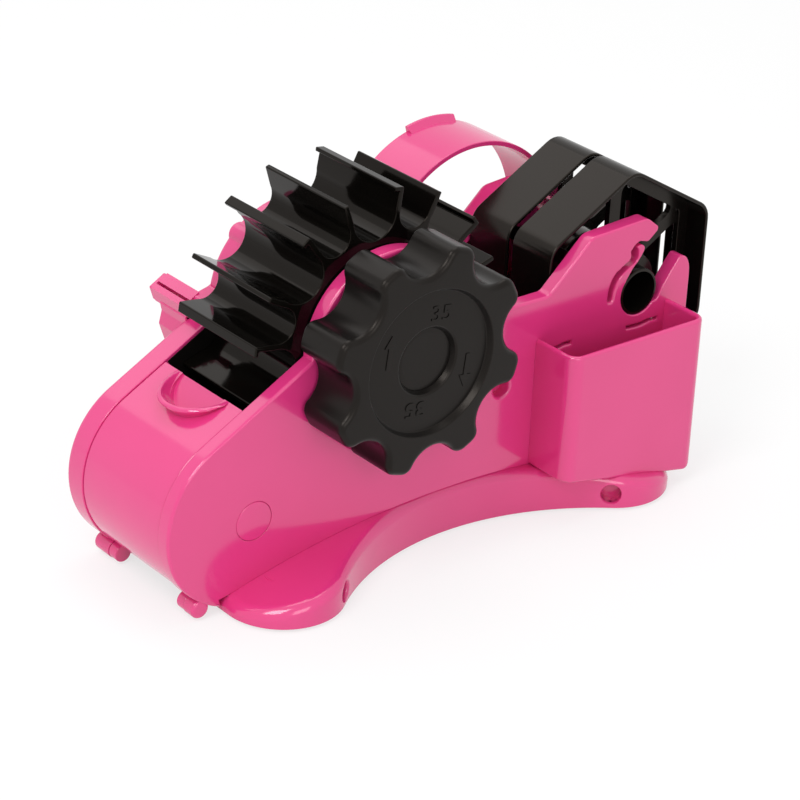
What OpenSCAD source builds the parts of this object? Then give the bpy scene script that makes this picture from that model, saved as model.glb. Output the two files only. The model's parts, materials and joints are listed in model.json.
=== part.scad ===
// Tape dispenser for several rolls. A hand-turned vane wheel draws the tape off two
// hexagonal spools and over a cutter in the nose, and a ring on the far side holds one
// more roll. Millimetres, +X from nose to spools, +Y to the far side, +Z up.
// Side shapes are drawn from the wheel axis, with the vane wheel's middle at y = 0.

/* [Wheel] */
// Radius of the circle that the vane tips run on
tip_r = 45; // [42:0.5:47]
// Width of the vane wheel
wheel_w = 38; // [34:0.5:42]
// Thickness of a vane
vane_t = 1.6; // [1.2:0.1:2.2]
// Number of vane pairs, one for each cut piece of tape
pair_count = 8; // [8]
// Angle between the two vanes of a pair
pair_angle = 19.2; // [17:0.2:21]
// Angle of the first pair at rest
wheel_turn = 27.3; // [0:0.1:44]
// Radius of the bottom of the wide troughs, between pairs
wide_root_r = 30.1; // [29:0.1:32]
// Radius of the bottom of the narrow troughs, inside a pair
narrow_root_r = 32.5; // [31:0.1:34]
// Width of the hooked lip on the first vane of a pair
lip_w = 3.2; // [2.4:0.1:4]
// Thickness of that lip
lip_t = 1.3; // [1:0.1:2]
// Radius of the hollow inside the wheel
wheel_hollow_r = 27; // [22:0.5:28]
// Thickness of the wheel's end web
wheel_web = 3; // [2:0.5:5]
// Outer radius of the wheel's hub
wheel_hub_r = 8.5; // [6.5:0.5:11]

/* [Axle and knob] */
// Radius of the wheel's axle
axle_r = 4; // [3:0.25:5]
// Height of the axle above the table
axle_h = 72; // [70:0.5:78]
// Outer radius of the knob, over its lobes
knob_r = 35; // [33:0.2:37]
// Thickness of the knob's gripping rim
knob_t = 18; // [16:0.2:19.4]
// Radius of the flutes between the lobes
flute_r = 9; // [8:0.5:10]
// Depth of the flutes
flute_depth = 7.5; // [6.5:0.1:8.5]
// Rounding of the lobes' corners
lobe_round = 3.4; // [2.4:0.2:4]
// Gap between the near shell and the back of the knob
knob_gap = 1; // [0.8:0.2:3]
// Wall of the hollow knob
knob_wall = 2.2; // [1.6:0.2:3]
// Radius of the sunk ring on the knob's face
dial_r = 22.3; // [20:0.1:25]
// Depth of the sunk ring
dial_depth = 1.6; // [1:0.1:2.4]
// Radius of the dish in the middle of the knob
dish_r = 9.7; // [8:0.1:12]
// Depth of that dish below the knob's face
dish_depth = 3.4; // [2.6:0.1:4]
// Thickness of the cap in the dish
cap_t = 1.2; // [0.8:0.1:1.8]

/* [Shells] */
// Clearance between the wheel and each side shell
wheel_side_gap = 0.5; // [0.3:0.1:1]
// Thickness of the near side shell
near_t = 4.9; // [4.4:0.1:8]
// Radius of the round cap on the nose
nose_cap_r = 6.2; // [5:0.1:9]
// Distance from the wheel axis forward to that cap
cap_dx = 47.9; // [46:0.1:52]
// Height of that cap above the table
cap_h = 27.1; // [24:0.1:30]
// Radius of the blind hole beside the knob
recess_r = 3.1; // [2.4:0.1:3.6]
// Distance from the wheel axis back to that hole
recess_dx = 44.4; // [43:0.2:46]
// Drop from the wheel axis to that hole
recess_drop = 27.6; // [26:0.2:29]
// Thickness of the far side shell
far_t = 8.7; // [6:0.1:10]
// Wall of the moulded shells
wall = 2.2; // [1.6:0.1:2.6]
// Radius of the round ears at the wheel axis
ear_r = 28.2; // [26:0.2:30]
// Radius of the nose
nose_r = 28; // [27:0.5:29]
// Distance from the wheel axis forward to the nose's centre
nose_dx = 49.9; // [45:0.1:52]
// Angle of the sloping edge from the nose up to the wheel
slope = 28.9; // [28:0.1:30]
// Depth of the deck below the wheel axis, behind the wheel
deck_drop = 1.3; // [0:0.1:4]
// Distance from the wheel axis back to the shells' rear edge
rear_dx = 121; // [119:0.5:126]
// Height of the shells' rear corner above the table
rear_foot_h = 6.5; // [5:0.5:12]
// Radius of the corner there
rear_foot_r = 8; // [4:0.5:12]

/* [Reel] */
// Distance from the wheel axis back to the roll axis
roll_dx = 99.5; // [98:0.5:104]
// Depth of the roll axis below the wheel axis
roll_drop = 9.4; // [8:0.2:11]
// Outer radius of the roll shaft
shaft_r = 7.6; // [7:0.1:7.8]
// Wall of the roll shaft
shaft_wall = 1.4; // [1:0.1:2]
// Radius over the corners of a spool, before rounding
spool_r = 38.7; // [36:0.1:39.5]
// Rounding of the spool's corners
spool_round = 7; // [3:0.5:9]
// Wall of a spool's band
spool_wall = 1.2; // [1:0.1:2.6]
// Clearance between a spool and the shell beside it
spool_end_gap = 0.6; // [0.4:0.1:1]
// Gap between the two spools
spool_gap = 2.4; // [1:0.1:3.4]
// Thickness of a spool's web
spool_web = 2.2; // [1.6:0.1:3]
// Distance of a spool's web from its mid width, towards the far side
spool_web_shift = 2.6; // [-4:0.1:4]
// Outer radius of a spool's hub
spool_hub_r = 11; // [9.6:0.2:13]
// Rim between a spool's wall and the windows of its web
spool_rim = 4; // [3:0.2:8]
// Width of the spokes between the windows of a spool's web
spoke_w = 4.4; // [3:0.2:6]
// Angle at which the shaft lifts out of its seats
lift_angle = 51; // [50:0.5:52]

/* [Nose cover] */
// Thickness of the nose cover
cover_t = 2; // [1.6:0.1:2.6]
// Distance from the wheel axis forward to the cover's upper edge
cover_edge_dx = 49.1; // [48:0.1:52]
// Radius of the pull lip on the cover
pull_r = 13.4; // [11:0.1:14]
// Height of the pull lip at its far end
pull_h = 4.6; // [3:0.1:5]
// Thickness of the pull lip
pull_t = 1.8; // [1.2:0.1:2.4]
// Depth of the cover's face below the edges of the shells
cover_sink = 0.6; // [0.3:0.1:1]
// Distance of the hinge's axis out from the round of the nose
hinge_out = 1.8; // [1.4:0.1:2.1]
// Height of the hinge above the table
hinge_h = 3.5; // [3.3:0.1:4]
// Radius of the hinge knuckles
knuckle_r = 3; // [2.8:0.1:3.2]
// Radius of the hinge pins
pin_r = 1.3; // [1.1:0.1:1.5]
// Length of a knuckle of the cover
knuckle_w = 4.2; // [3:0.2:6]

/* [Cutter] */
// Angle of the cutting blade about the wheel axis
blade_angle = 216; // [212:0.5:220]
// Gap between the blade's edge and the vane tips
blade_gap = 0.8; // [0.5:0.1:1.5]
// Thickness of the blade
blade_t = 0.8; // [0.5:0.1:1.2]
// Depth of the blade from its edge to its back
blade_d = 11; // [10:0.5:12]
// Pitch of the blade's teeth
tooth_pitch = 2; // [1.6:0.2:3]
// Thickness of the bar that carries the blade
bar_t = 5; // [4:0.5:7]
// Distance of the blade's screws from the middle
blade_screw_dy = 9; // [7:0.5:12]

/* [Base] */
// Distance from the wheel axis back to the base's middle
base_dx = 25; // [22:0.5:28]
// Half the distance between front and rear lobes
lobe_dx = 64.5; // [63.5:0.5:66.5]
// Half the distance between near and far lobes
lobe_dy = 27.4; // [26:0.2:30]
// Radius of the lobes
lobe_r = 19; // [17:0.2:20]
// Half the width of the base's waist
waist = 24.2; // [23:0.2:26]
// Height of the base at its middle
base_h = 16.3; // [15:0.1:17]
// Radius of the base's arched top
arch_r = 310; // [290:5:400]
// Radius of the side holes near the lobes
side_hole_r = 3.2; // [2.6:0.1:3.8]
// Angle of the side holes round the lobes, from straight across
side_hole_turn = 40; // [32:1:48]
// Height of the side holes above the table
side_hole_h = 5.5; // [5:0.1:5.8]
// Height of the base's rim above the table
rim_gap = 0.6; // [0.3:0.1:1]
// Radius of the rubber feet
foot_r = 11; // [9:0.5:12.5]
// Height of the feet's pads
foot_h = 3.2; // [2.6:0.1:3.8]
// Radius of the feet's studs
stud_r = 3; // [2:0.2:4]
// Height of those studs
stud_h = 3.2; // [2.4:0.1:4]
// Depth of the hollow under a foot
sole_d = 1.4; // [0.8:0.1:1.8]
// Depth of the base screws' heads inside the base
head_sink = 3; // [2:0.1:4]

/* [Pen box] */
// Length of the pen box
box_l = 55.8; // [46:0.2:56.4]
// Depth of the pen box
box_d = 17.5; // [14:0.5:19]
// Distance from the wheel axis back to the box
box_dx = 57.2; // [56:0.2:62]
// Depth of the box's rim below the wheel axis
box_drop = 14.8; // [14:0.2:24]
// Wall of the box
box_wall = 2; // [1.4:0.1:2.6]
// Radius of the box's outer corners
box_round = 4.5; // [3:0.5:6]

/* [Spare roll ring] */
// Distance from the wheel axis back to the ring's centre
ring_dx = 74.7; // [72:0.1:77]
// Depth of the ring's centre below the wheel axis
ring_drop = 8.4; // [7:0.1:10]
// Outer radius of the ring
ring_r = 36.4; // [34:0.1:38]
// Wall of the ring
ring_wall = 1.5; // [1.2:0.1:2.4]
// Width of the ring
ring_w = 22.8; // [18:0.2:26]
// Height of the catches on the ring's far edge
catch_h = 2; // [1:0.1:2.6]
// Length of the side arm beyond the far shell
arm_l = 16; // [12:0.5:20]
// Distance of the ring's screws in from its outside
ring_screw_in = 6; // [5:0.1:6.5]

/* [Fits] */
// Radial clearance of a turning shaft
run_fit = 0.05; // [0.02:0.01:0.08]
// Gap between pieces that pass each other
pass_gap = 0.3; // [0.2:0.05:0.5]
// Gap between pieces that are fastened to each other
seat_gap = 0.05; // [0.02:0.01:0.1]
// Radius of the screws' shanks
screw_r = 1.5; // [1.2:0.1:1.7]
// Radius of the screws' heads
head_r = 3; // [2.6:0.1:3.2]
// Height of the screws' heads
head_h = 2; // [1.6:0.1:2.2]
// Radius of the posts and bosses that the screws enter
post_r = 4.6; // [4:0.1:5]
// Length that a screw runs into its post
screw_bite = 8; // [6:0.5:10]
// Bite of the nose screw in the far shell's post
nose_bite = 4; // [3:0.2:5]
// Length that the pen box's screws run into the box
box_bite = 4; // [3:0.1:4.2]

/* [Hidden] */
$fn = 96;
pink = [0.91, 0.33, 0.58];
black = [0.13, 0.12, 0.12];
steel = [0.7, 0.7, 0.72];
grey = [0.3, 0.3, 0.3];

// Places across the width, from the wheel's middle
inner_w = wheel_w + 2 * wheel_side_gap;
spool_w = (inner_w - spool_gap) / 2 - spool_end_gap;
in_y = inner_w / 2;
near_y = -in_y - near_t;
far_y = in_y + far_t;
knob_back_y = near_y - knob_gap;
knob_face_y = knob_back_y - knob_t;
ring_far_y = far_y + seat_gap + ring_w;

// Places along the length and height, from the wheel axis
ground = -axle_h;
nose_z = ground + rim_gap + nose_r;
hinge_z = ground + hinge_h;
hinge_rise = nose_z - hinge_z;
hinge_dx = nose_dx + sqrt((nose_r + hinge_out) * (nose_r + hinge_out) - hinge_rise * hinge_rise);
base_top = ground + base_h;
spool_flat = spool_r * cos(30);
nose_front = -nose_dx - nose_r;
reel_back = roll_dx + spool_flat;
tangent_x = -nose_dx - nose_r * sin(slope);
tangent_z = nose_z + nose_r * cos(slope);
edge_z = tangent_z + (tangent_x + cover_edge_dx) * -tan(slope);
slope_end_x = 1 - ear_r;
// The slope starts this little inside the nose, so that its edge crosses the round
sink = 0.02;
slope_end_z = tangent_z + (slope_end_x - tangent_x) * tan(slope);

// The origin is under the middle of the whole object's box
side_hole_x = lobe_dx - (lobe_r - wall) * sin(side_hole_turn);
side_hole_y = lobe_dy + (lobe_r - wall) * cos(side_hole_turn);
lobe_y = lobe_dy + lobe_r;
origin_x = -(nose_front + reel_back) / 2;
origin_y = -(ring_far_y - lobe_y) / 2;

// Screw places, [x, z] from the wheel axis
nose_post = [-cap_dx, ground + cap_h];
mid_post = [52, ground + 27];
rear_post = [112, ground + 14];
base_screw_x = [8, 76];
base_screw_y = in_y - post_r - 1;
ring_screw_angles = [205, 255, 320];
box_screw_x = [box_wall + 2.6, box_l - box_wall - 2.6];
box_screw_z = ground + 20;
foot_boss_r = stud_r + 2.4;

// The concave side of the base touches both lobes
waist_in = waist - lobe_dy;
waist_r = (lobe_dx * lobe_dx + waist_in * waist_in - lobe_r * lobe_r) / (2 * (lobe_r - waist_in));

// Puts wheel-axis shapes at their place in the object
module placed() {
  translate([origin_x, origin_y, axle_h]) children();
}

// A flat shape drawn as [x, z], from y_lo to y_hi
module across(y_lo, y_hi) {
  translate([0, y_hi, 0]) rotate([90, 0, 0]) linear_extrude(y_hi - y_lo) children();
}

// A round bar along Y
module bar(x, z, r, y_lo, y_hi) {
  translate([x, y_hi, z]) rotate([90, 0, 0]) cylinder(r = r, h = y_hi - y_lo);
}

// Everything under the arched top of the base, raised by gap
module under_arch(gap) {
  bar(base_dx, base_top - arch_r, arch_r + gap, -lobe_y - 10, lobe_y + 10);
}

// A screw whose head is at the origin and whose shank runs along -Z
module screw(shank) {
  translate([0, 0, -shank]) cylinder(r = screw_r, h = shank + head_h / 2);
  difference() {
    cylinder(r = head_r, h = head_h);
    for (a = [0, 90]) rotate(a) translate([-head_r * 0.6, -0.35, head_h - 0.8]) cube([head_r * 1.2, 0.7, 1]);
  }
}

// Outline of the base, drawn in by inset
module base_outline(inset) {
  touch = (lobe_r - inset) / (waist_r + lobe_r);
  touch_x = lobe_dx * (1 - touch);
  touch_y = lobe_dy + (waist + waist_r - lobe_dy) * touch;
  difference() {
    union() {
      square([2 * touch_x, 2 * touch_y], center = true);
      square([2 * (lobe_dx + lobe_r - inset), 2 * lobe_dy], center = true);
    }
    for (s = [-1, 1]) translate([0, s * (waist + waist_r)]) circle(waist_r + inset, $fn = 180);
  }
  for (sx = [-1, 1], sy = [-1, 1]) translate([sx * lobe_dx, sy * lobe_dy]) circle(lobe_r - inset);
}

module base_body(inset, drop) {
  intersection() {
    translate([base_dx, 0, ground + rim_gap - inset])
      linear_extrude(base_h + inset) base_outline(inset);
    under_arch(-drop);
  }
}

module base() color(pink) placed() {
  difference() {
    union() {
      difference() {
        base_body(0, 0);
        base_body(wall, wall);
      }
      intersection() {
        base_body(0, 0.5);
        union() {
          for (sx = [-1, 1], sy = [-1, 1])
            translate([base_dx + sx * lobe_dx, sy * lobe_dy, ground + foot_h])
              cylinder(r = foot_boss_r, h = base_h);
          for (x = base_screw_x, s = [-1, 1])
            translate([x, s * base_screw_y, ground + rim_gap]) cylinder(r = post_r, h = base_h);
        }
      }
    }
    for (sx = [-1, 1], sy = [-1, 1]) {
      translate([base_dx + sx * lobe_dx, sy * lobe_dy, ground]) cylinder(r = stud_r + seat_gap, h = foot_h + stud_h + 0.2);
      translate([base_dx + sx * side_hole_x, sy * side_hole_y, ground + side_hole_h])
        rotate([90, 0, sx * sy * side_hole_turn]) cylinder(r = side_hole_r, h = 9, center = true);
    }
    for (x = base_screw_x, s = [-1, 1]) translate([x, s * base_screw_y, ground]) {
      cylinder(r = screw_r + seat_gap, h = base_h + 1);
      cylinder(r = head_r + seat_gap, h = head_sink + head_h + seat_gap);
    }
  }
}

// Rubber pads with a hollow sole and a stud that presses into the base
module rubber_feet() color(grey) placed() {
  for (sx = [-1, 1], sy = [-1, 1]) translate([base_dx + sx * lobe_dx, sy * lobe_dy, ground])
    rotate_extrude() polygon([[0, sole_d], [foot_r * 0.68, sole_d * 0.6], [foot_r * 0.86, 0], [foot_r, 0], [foot_r, foot_h * 0.4],
                              [foot_r * 0.45, foot_h], [stud_r, foot_h], [stud_r, foot_h + stud_h], [0, foot_h + stud_h]]);
}

// Corner points of a cheek about the roll axis, from the deck round to the mouth's upper lip
cheek_top = [[-22, 23], [-18.5, 23.4], [-0.5, 24.4], [4.1, 22.8], [6.4, 20.3], [4.7, 18.8],
             [2.2, 16.6], [-1.6, 17.4], [-3.6, 16.4]];
// The slot behind the snap arm, down its outer side and up its inner side
arm_slot = [[-4.9, 14.8], [-4.6, 13], [-5.6, 11.6], [-8, 10.4], [-11, 7.8], [-12.7, 4.2], [-13.1, 0.2],
            [-12.2, -0.7], [-11.2, 0], [-10.6, 3.2], [-8.7, 6.8], [-5.2, 9.2], [-2.6, 10.6], [-1.5, 12],
            [-1.6, 14.2], [-2.4, 15.6]];
// The inner side of the snap arm, from its tip down to the seat
arm_tip = [[-0.4, 16.1], [1, 14.9], [0.2, 12.8], [-1.4, 10.8], [-3.6, 8.5], [-6.1, 5]];
// The horn behind the mouth
horn = [[6.2, -5], [8.1, -4.3], [9.6, -1.6], [12.4, 2.5], [16.2, 7.4], [17.6, 8.1], [19.8, 7],
        [rear_dx - roll_dx - 0.3, 4], [rear_dx - roll_dx, 0]];

module seat_pocket() {
  circle(shaft_r + 2 * run_fit);
}

// Side shape of a shell as [x, z], without its holes
module shell_profile() {
  difference() {
    union() {
      translate([-nose_dx, nose_z]) circle(nose_r);
      circle(ear_r);
      polygon(concat(
        [[-nose_dx, ground + 2], [-nose_dx, nose_z], [tangent_x + sink * sin(slope), tangent_z - sink * cos(slope)],
         [slope_end_x, slope_end_z], [0, 0], [ear_r - 2, -deck_drop], [roll_dx - 38, -deck_drop]],
        [for (p = cheek_top) p + [roll_dx, -roll_drop]],
        [for (p = arm_slot) p + [roll_dx, -roll_drop]],
        [for (p = arm_tip) p + [roll_dx, -roll_drop]],
        [[roll_dx, -roll_drop]],
        [for (p = horn) p + [roll_dx, -roll_drop]],
        [for (a = [0 : -15 : -90]) [rear_dx - rear_foot_r + rear_foot_r * cos(a),
                                    ground + rear_foot_h + rear_foot_r + rear_foot_r * sin(a)]],
        [[rear_dx - 2 * rear_foot_r, ground + rear_foot_h], [rear_dx - 2 * rear_foot_r, ground + 2]]));
    }
    translate([roll_dx, -roll_drop]) seat_pocket();
  }
}

// Clears the base's arched top and the space in front of it
module base_room() {
  intersection() {
    under_arch(seat_gap);
    translate([base_dx - lobe_dx - lobe_r - pass_gap, -lobe_y, ground - 5])
      cube([2 * (lobe_dx + lobe_r) + 2 * pass_gap, 2 * lobe_y, base_h + 10]);
  }
}

// A hollow side shell: skin from skin_y to skin_y + t, open towards the middle
module shell_body(y_lo, y_hi, open_lo) {
  difference() {
    across(y_lo, y_hi) shell_profile();
    across(open_lo ? y_lo - 1 : y_lo + wall, open_lo ? y_hi - wall : y_hi + 1)
      intersection() {
        offset(delta = -wall) shell_profile();
        translate([base_dx - 2, 0]) difference() {
          square([400, 400], center = true);
          translate([0, base_top - arch_r]) circle(arch_r + wall, $fn = 180);
        }
      }
    base_room();
  }
}

// Lugs on a shell's foot that the base screws enter
module foot_lugs(s) {
  difference() {
    for (x = base_screw_x)
      translate([x - post_r, min(s * in_y, s * (in_y - 2 * post_r - 1)), base_top - 8])
        cube([2 * post_r, 2 * post_r + 1, 14]);
    base_room();
    for (x = base_screw_x) translate([x, s * base_screw_y, ground]) cylinder(r = screw_r, h = base_h + 4);
  }
}

module axle_bore(y_lo, y_hi) {
  bar(0, 0, axle_r + run_fit, y_lo, y_hi);
}

module near_shell() color(pink) placed() {
  difference() {
    union() {
      shell_body(near_y, -in_y, false);
      bar(0, 0, wheel_hub_r + 3, near_y, -in_y);
      for (p = [nose_post, mid_post, rear_post]) bar(p[0], p[1], post_r, near_y + wall / 2, in_y - seat_gap);
      bar(-hinge_dx, hinge_z, knuckle_r, near_y + 1, -in_y);
      foot_lugs(-1);
      bar_pad(near_y + wall / 2, -in_y);
      bar(recess_dx, -recess_drop, recess_r + wall, near_y + wall / 2, -in_y);
      for (x = box_screw_x) bar(box_dx + x, box_screw_z, post_r, near_y + wall / 2, -in_y);
    }
    axle_bore(near_y - 1, -in_y + 1);
    bar(-hinge_dx, hinge_z, pin_r + seat_gap, near_y + 2, -in_y + 1);
    // Seat of the round cap and the hole for the screw under it
    bar(nose_post[0], nose_post[1], nose_cap_r + seat_gap, near_y - 1, near_y + 1);
    bar(nose_post[0], nose_post[1], head_r + seat_gap, near_y - 1, near_y + 1 + head_h);
    for (p = [mid_post, rear_post]) bar(p[0], p[1], screw_r, in_y - screw_bite - 5, in_y + 1);
    bar(nose_post[0], nose_post[1], screw_r + seat_gap, near_y, in_y + 1);
    for (x = box_screw_x) {
      bar(box_dx + x, box_screw_z, screw_r + seat_gap, near_y - 1, -in_y + 1);
      bar(box_dx + x, box_screw_z, head_r + seat_gap, near_y + wall, -in_y + 1);
    }
    bar(recess_dx, -recess_drop, recess_r, near_y - 1, -in_y - wall / 2);
    // Two narrow slots in the wall behind the pen box
    for (x = [box_dx + 6, box_dx + 38]) across(near_y - 1, near_y + wall + 1)
      for (k = [0, 1]) translate([x + 6 * k, -box_drop - 6 + k * 0.8]) rotate(k == 0 ? -4 : 10) square([6.6, 1.3]);
  }
}

// Ledge on the far ear that the side arm grows from
arm_root = [[-24, 12], [-33.9, 3.1], [-34, -3], [-26, -1]];
arm_section = [[-33.5, 3.6], [-38, 0.9], [-36.6, -4.4], [-35.4, -10], [-34.6, -17], [-31.8, -17], [-31.2, 0.6]];

module far_shell() color(pink) placed() {
  difference() {
    union() {
      shell_body(in_y, far_y, true);
      bar(0, 0, wheel_hub_r + 3, in_y, far_y);
      across(in_y, far_y) polygon(arm_root);
      across(in_y, far_y + arm_l) polygon(arm_section);
      bar((ear_r - 2.2) * cos(132), (ear_r - 2.2) * sin(132), 3.6, in_y, far_y);
      for (p = [nose_post, mid_post, rear_post]) bar(p[0], p[1], post_r, in_y, far_y - wall / 2);
      bar(-hinge_dx, hinge_z, knuckle_r, in_y, far_y - 1);
      foot_lugs(1);
      bar_pad(in_y, far_y - wall / 2);
      for (a = ring_screw_angles) bar(ring_dx + (ring_r - ring_screw_in) * cos(a), -ring_drop + (ring_r - ring_screw_in) * sin(a),
                                      post_r, in_y, far_y - wall / 2);
    }
    axle_bore(in_y - 1, far_y + 1);
    bar(-hinge_dx, hinge_z, pin_r + seat_gap, in_y - 1, far_y - 2);
    for (p = [mid_post, rear_post]) {
      bar(p[0], p[1], screw_r + seat_gap, in_y - 1, far_y + 1);
      bar(p[0], p[1], head_r + seat_gap, far_y - head_h - 0.4, far_y + 1);
    }
    bar(nose_post[0], nose_post[1], screw_r, in_y - 1, in_y + nose_bite + 1);
    for (a = ring_screw_angles) {
      bar(ring_dx + (ring_r - ring_screw_in) * cos(a), -ring_drop + (ring_r - ring_screw_in) * sin(a), screw_r + seat_gap, in_y - 1, far_y + 1);
      bar(ring_dx + (ring_r - ring_screw_in) * cos(a), -ring_drop + (ring_r - ring_screw_in) * sin(a), head_r + seat_gap, in_y - 1, far_y - wall);
    }
    // Slot along the top of the side arm
    across(far_y + 1, far_y + arm_l - 1.5) translate([-35.8, 2.2]) rotate(slope) square([1, 9], center = true);
  }
}

// Two screws from the far side into the posts, and one from the near side under the cap
module shell_screws() color(steel) placed() {
  for (p = [mid_post, rear_post])
    translate([p[0], far_y - head_h - 0.4, p[1]]) rotate([-90, 0, 0]) screw(far_t + screw_bite);
  translate([nose_post[0], near_y + 1 + head_h, nose_post[1]]) rotate([90, 0, 0])
    screw(in_y + nose_bite - near_y - 1 - head_h);
}

// Screws from below the base into the shells' lugs
module base_screws() color(steel) placed() {
  for (x = base_screw_x, s = [-1, 1])
    translate([x, s * base_screw_y, ground + head_sink + head_h]) mirror([0, 0, 1]) screw(base_h - head_sink);
}

// Flush round cap over the nose screw
module nose_cap() color(pink) placed() {
  bar(nose_post[0], nose_post[1], nose_cap_r, near_y - 0.3, near_y + 1 - seat_gap);
}

cover_y = in_y - pass_gap;

// The cover's bent plate, its half-round pull lip and its two knuckles
module nose_cover() color(pink) placed() {
  hinge_angle = atan2(hinge_z - nose_z, -hinge_dx + nose_dx) + 360;
  bend = [for (k = [0 : 40]) 90 + slope + (hinge_angle - 90 - slope) * k / 40];
  brow = [-cover_edge_dx, edge_z];
  difference() {
    union() {
      across(-cover_y, cover_y) polygon(concat(
        [brow - cover_sink * [-sin(slope), cos(slope)]],
        [for (a = bend) [-nose_dx, nose_z] + (nose_r - cover_sink) * [cos(a), sin(a)]],
        [for (k = [40 : -1 : 0]) [-nose_dx, nose_z] + (nose_r - cover_sink - cover_t) * [cos(bend[k]), sin(bend[k])]],
        [brow - (cover_sink + cover_t) * [-sin(slope), cos(slope)]]));
      translate([-cover_edge_dx, 0, edge_z]) rotate([0, -slope, 0]) translate([0, 0, -cover_sink]) intersection() {
        difference() {
          translate([0, 0, -cover_t / 2]) cylinder(r = pull_r, h = pull_h + cover_t);
          translate([0, 0, -cover_t]) cylinder(r = pull_r - pull_t, h = pull_h + 2 * cover_t);
        }
        across(-2 * pull_r, 2 * pull_r)
          polygon([[-1, -0.4 * cover_t], [-1, pull_h / pull_r], [-2 * pull_r, 2 * pull_h], [-2 * pull_r, -0.4 * cover_t]]);
      }
      for (s = [-1, 1]) bar(-hinge_dx, hinge_z, knuckle_r - 0.2, s > 0 ? cover_y - knuckle_w : -cover_y + sink,
                            s > 0 ? cover_y - sink : -cover_y + knuckle_w);
    }
    for (s = [-1, 1]) bar(-hinge_dx, hinge_z, pin_r + run_fit + seat_gap, s > 0 ? cover_y - knuckle_w - 1 : -in_y,
                          s > 0 ? in_y : -cover_y + knuckle_w + 1);
  }
}

module hinge_pins() color(steel) placed() {
  for (s = [-1, 1]) bar(-hinge_dx, hinge_z, pin_r, s > 0 ? cover_y - knuckle_w : near_y + 2.2,
                        s > 0 ? far_y - 2.2 : -cover_y + knuckle_w);
}

// Puts a shape with its blade edge along Y at the blade's place, +X away from the wheel
module at_blade() {
  rotate([0, -blade_angle, 0]) translate([tip_r + blade_gap, 0, 0]) children();
}

// Solid pad in a shell that an end of the blade bar sits against
module bar_pad(y_lo, y_hi) {
  at_blade() translate([3, y_lo, -bar_t - 1]) cube([blade_d, y_hi - y_lo, bar_t + 2]);
}

module blade_bar() color(black) placed() {
  difference() {
    at_blade() translate([4, -in_y + seat_gap, -bar_t - seat_gap]) cube([blade_d - 2, inner_w - 2 * seat_gap, bar_t]);
    for (y = [-1, 1] * blade_screw_dy) at_blade() translate([blade_d - 3, y, -bar_t - 1]) cylinder(r = screw_r, h = bar_t + 2);
  }
}

module cutting_blade() color(steel) placed() {
  half = wheel_w / 2 - 0.5;
  teeth = floor(2 * half / tooth_pitch);
  at_blade() difference() {
    linear_extrude(blade_t) polygon(concat(
      [for (k = [0 : 2 * teeth]) [k % 2 == 0 ? 1.2 : 0, -teeth * tooth_pitch / 2 + k * tooth_pitch / 2]],
      [[blade_d, half], [blade_d, -half]]));
    for (y = [-1, 1] * blade_screw_dy) translate([blade_d - 3, y, -1]) cylinder(r = screw_r + seat_gap, h = blade_t + 2);
  }
}

module blade_screws() color(steel) placed() {
  for (y = [-1, 1] * blade_screw_dy) at_blade() translate([blade_d - 3, y, blade_t + seat_gap]) screw(bar_t);
}

// A trough between two vanes, at angle a, spanning span degrees, round at the bottom
module trough(a, span, root_r) {
  half_tip = tip_r * sin(span / 2) - vane_t / 2;
  slim = sin(span / 2);
  round_r = (root_r * slim - vane_t / 2) / (1 - slim);
  rotate(a) {
    translate([root_r + round_r, 0]) circle(round_r, $fn = 48);
    polygon([[root_r + round_r, -round_r], [tip_r + 1, -half_tip - slim], [tip_r + 1, half_tip + slim],
             [root_r + round_r, round_r]]);
  }
}

module wheel_profile() {
  pitch = 360 / pair_count;
  difference() {
    circle(tip_r, $fn = 180);
    for (k = [0 : pair_count - 1]) {
      trough(wheel_turn + k * pitch, pair_angle, narrow_root_r);
      trough(wheel_turn + (k + 0.5) * pitch, pitch - pair_angle, wide_root_r);
    }
  }
  for (k = [0 : pair_count - 1]) rotate(wheel_turn + k * pitch + pair_angle / 2)
    translate([tip_r - lip_t - 0.12, -vane_t / 2]) square([lip_t, lip_w]);
}

module vane_wheel() color(black) placed() {
  difference() {
    across(-wheel_w / 2, wheel_w / 2) wheel_profile();
    difference() {
      bar(0, 0, wheel_hollow_r, -wheel_w / 2 + wheel_web, wheel_w / 2 + 1);
      bar(0, 0, wheel_hub_r, -wheel_w / 2, wheel_w / 2);
    }
    bar(0, 0, axle_r, -wheel_w, wheel_w);
  }
}

axle_near_y = knob_face_y + dish_depth + cap_t + head_h + 2.4;

module wheel_axle() color(steel) placed() {
  difference() {
    bar(0, 0, axle_r, axle_near_y, far_y + 3);
    bar(0, 0, screw_r, axle_near_y - 1, axle_near_y + 9);
  }
}

module axle_cap() color(black) placed() {
  difference() {
    bar(0, 0, axle_r + 3, far_y + pass_gap, far_y + 4.4);
    bar(0, 0, axle_r, far_y, far_y + 3);
  }
}

module knob_outline() {
  pitch = 360 / pair_count;
  offset(r = lobe_round, $fn = 32) offset(delta = -lobe_round) difference() {
    circle(knob_r, $fn = 120);
    for (k = [0 : pair_count - 1]) rotate(wheel_turn + (k + 0.5) * pitch)
      translate([knob_r + flute_r - flute_depth, 0]) circle(flute_r, $fn = 48);
  }
}

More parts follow.
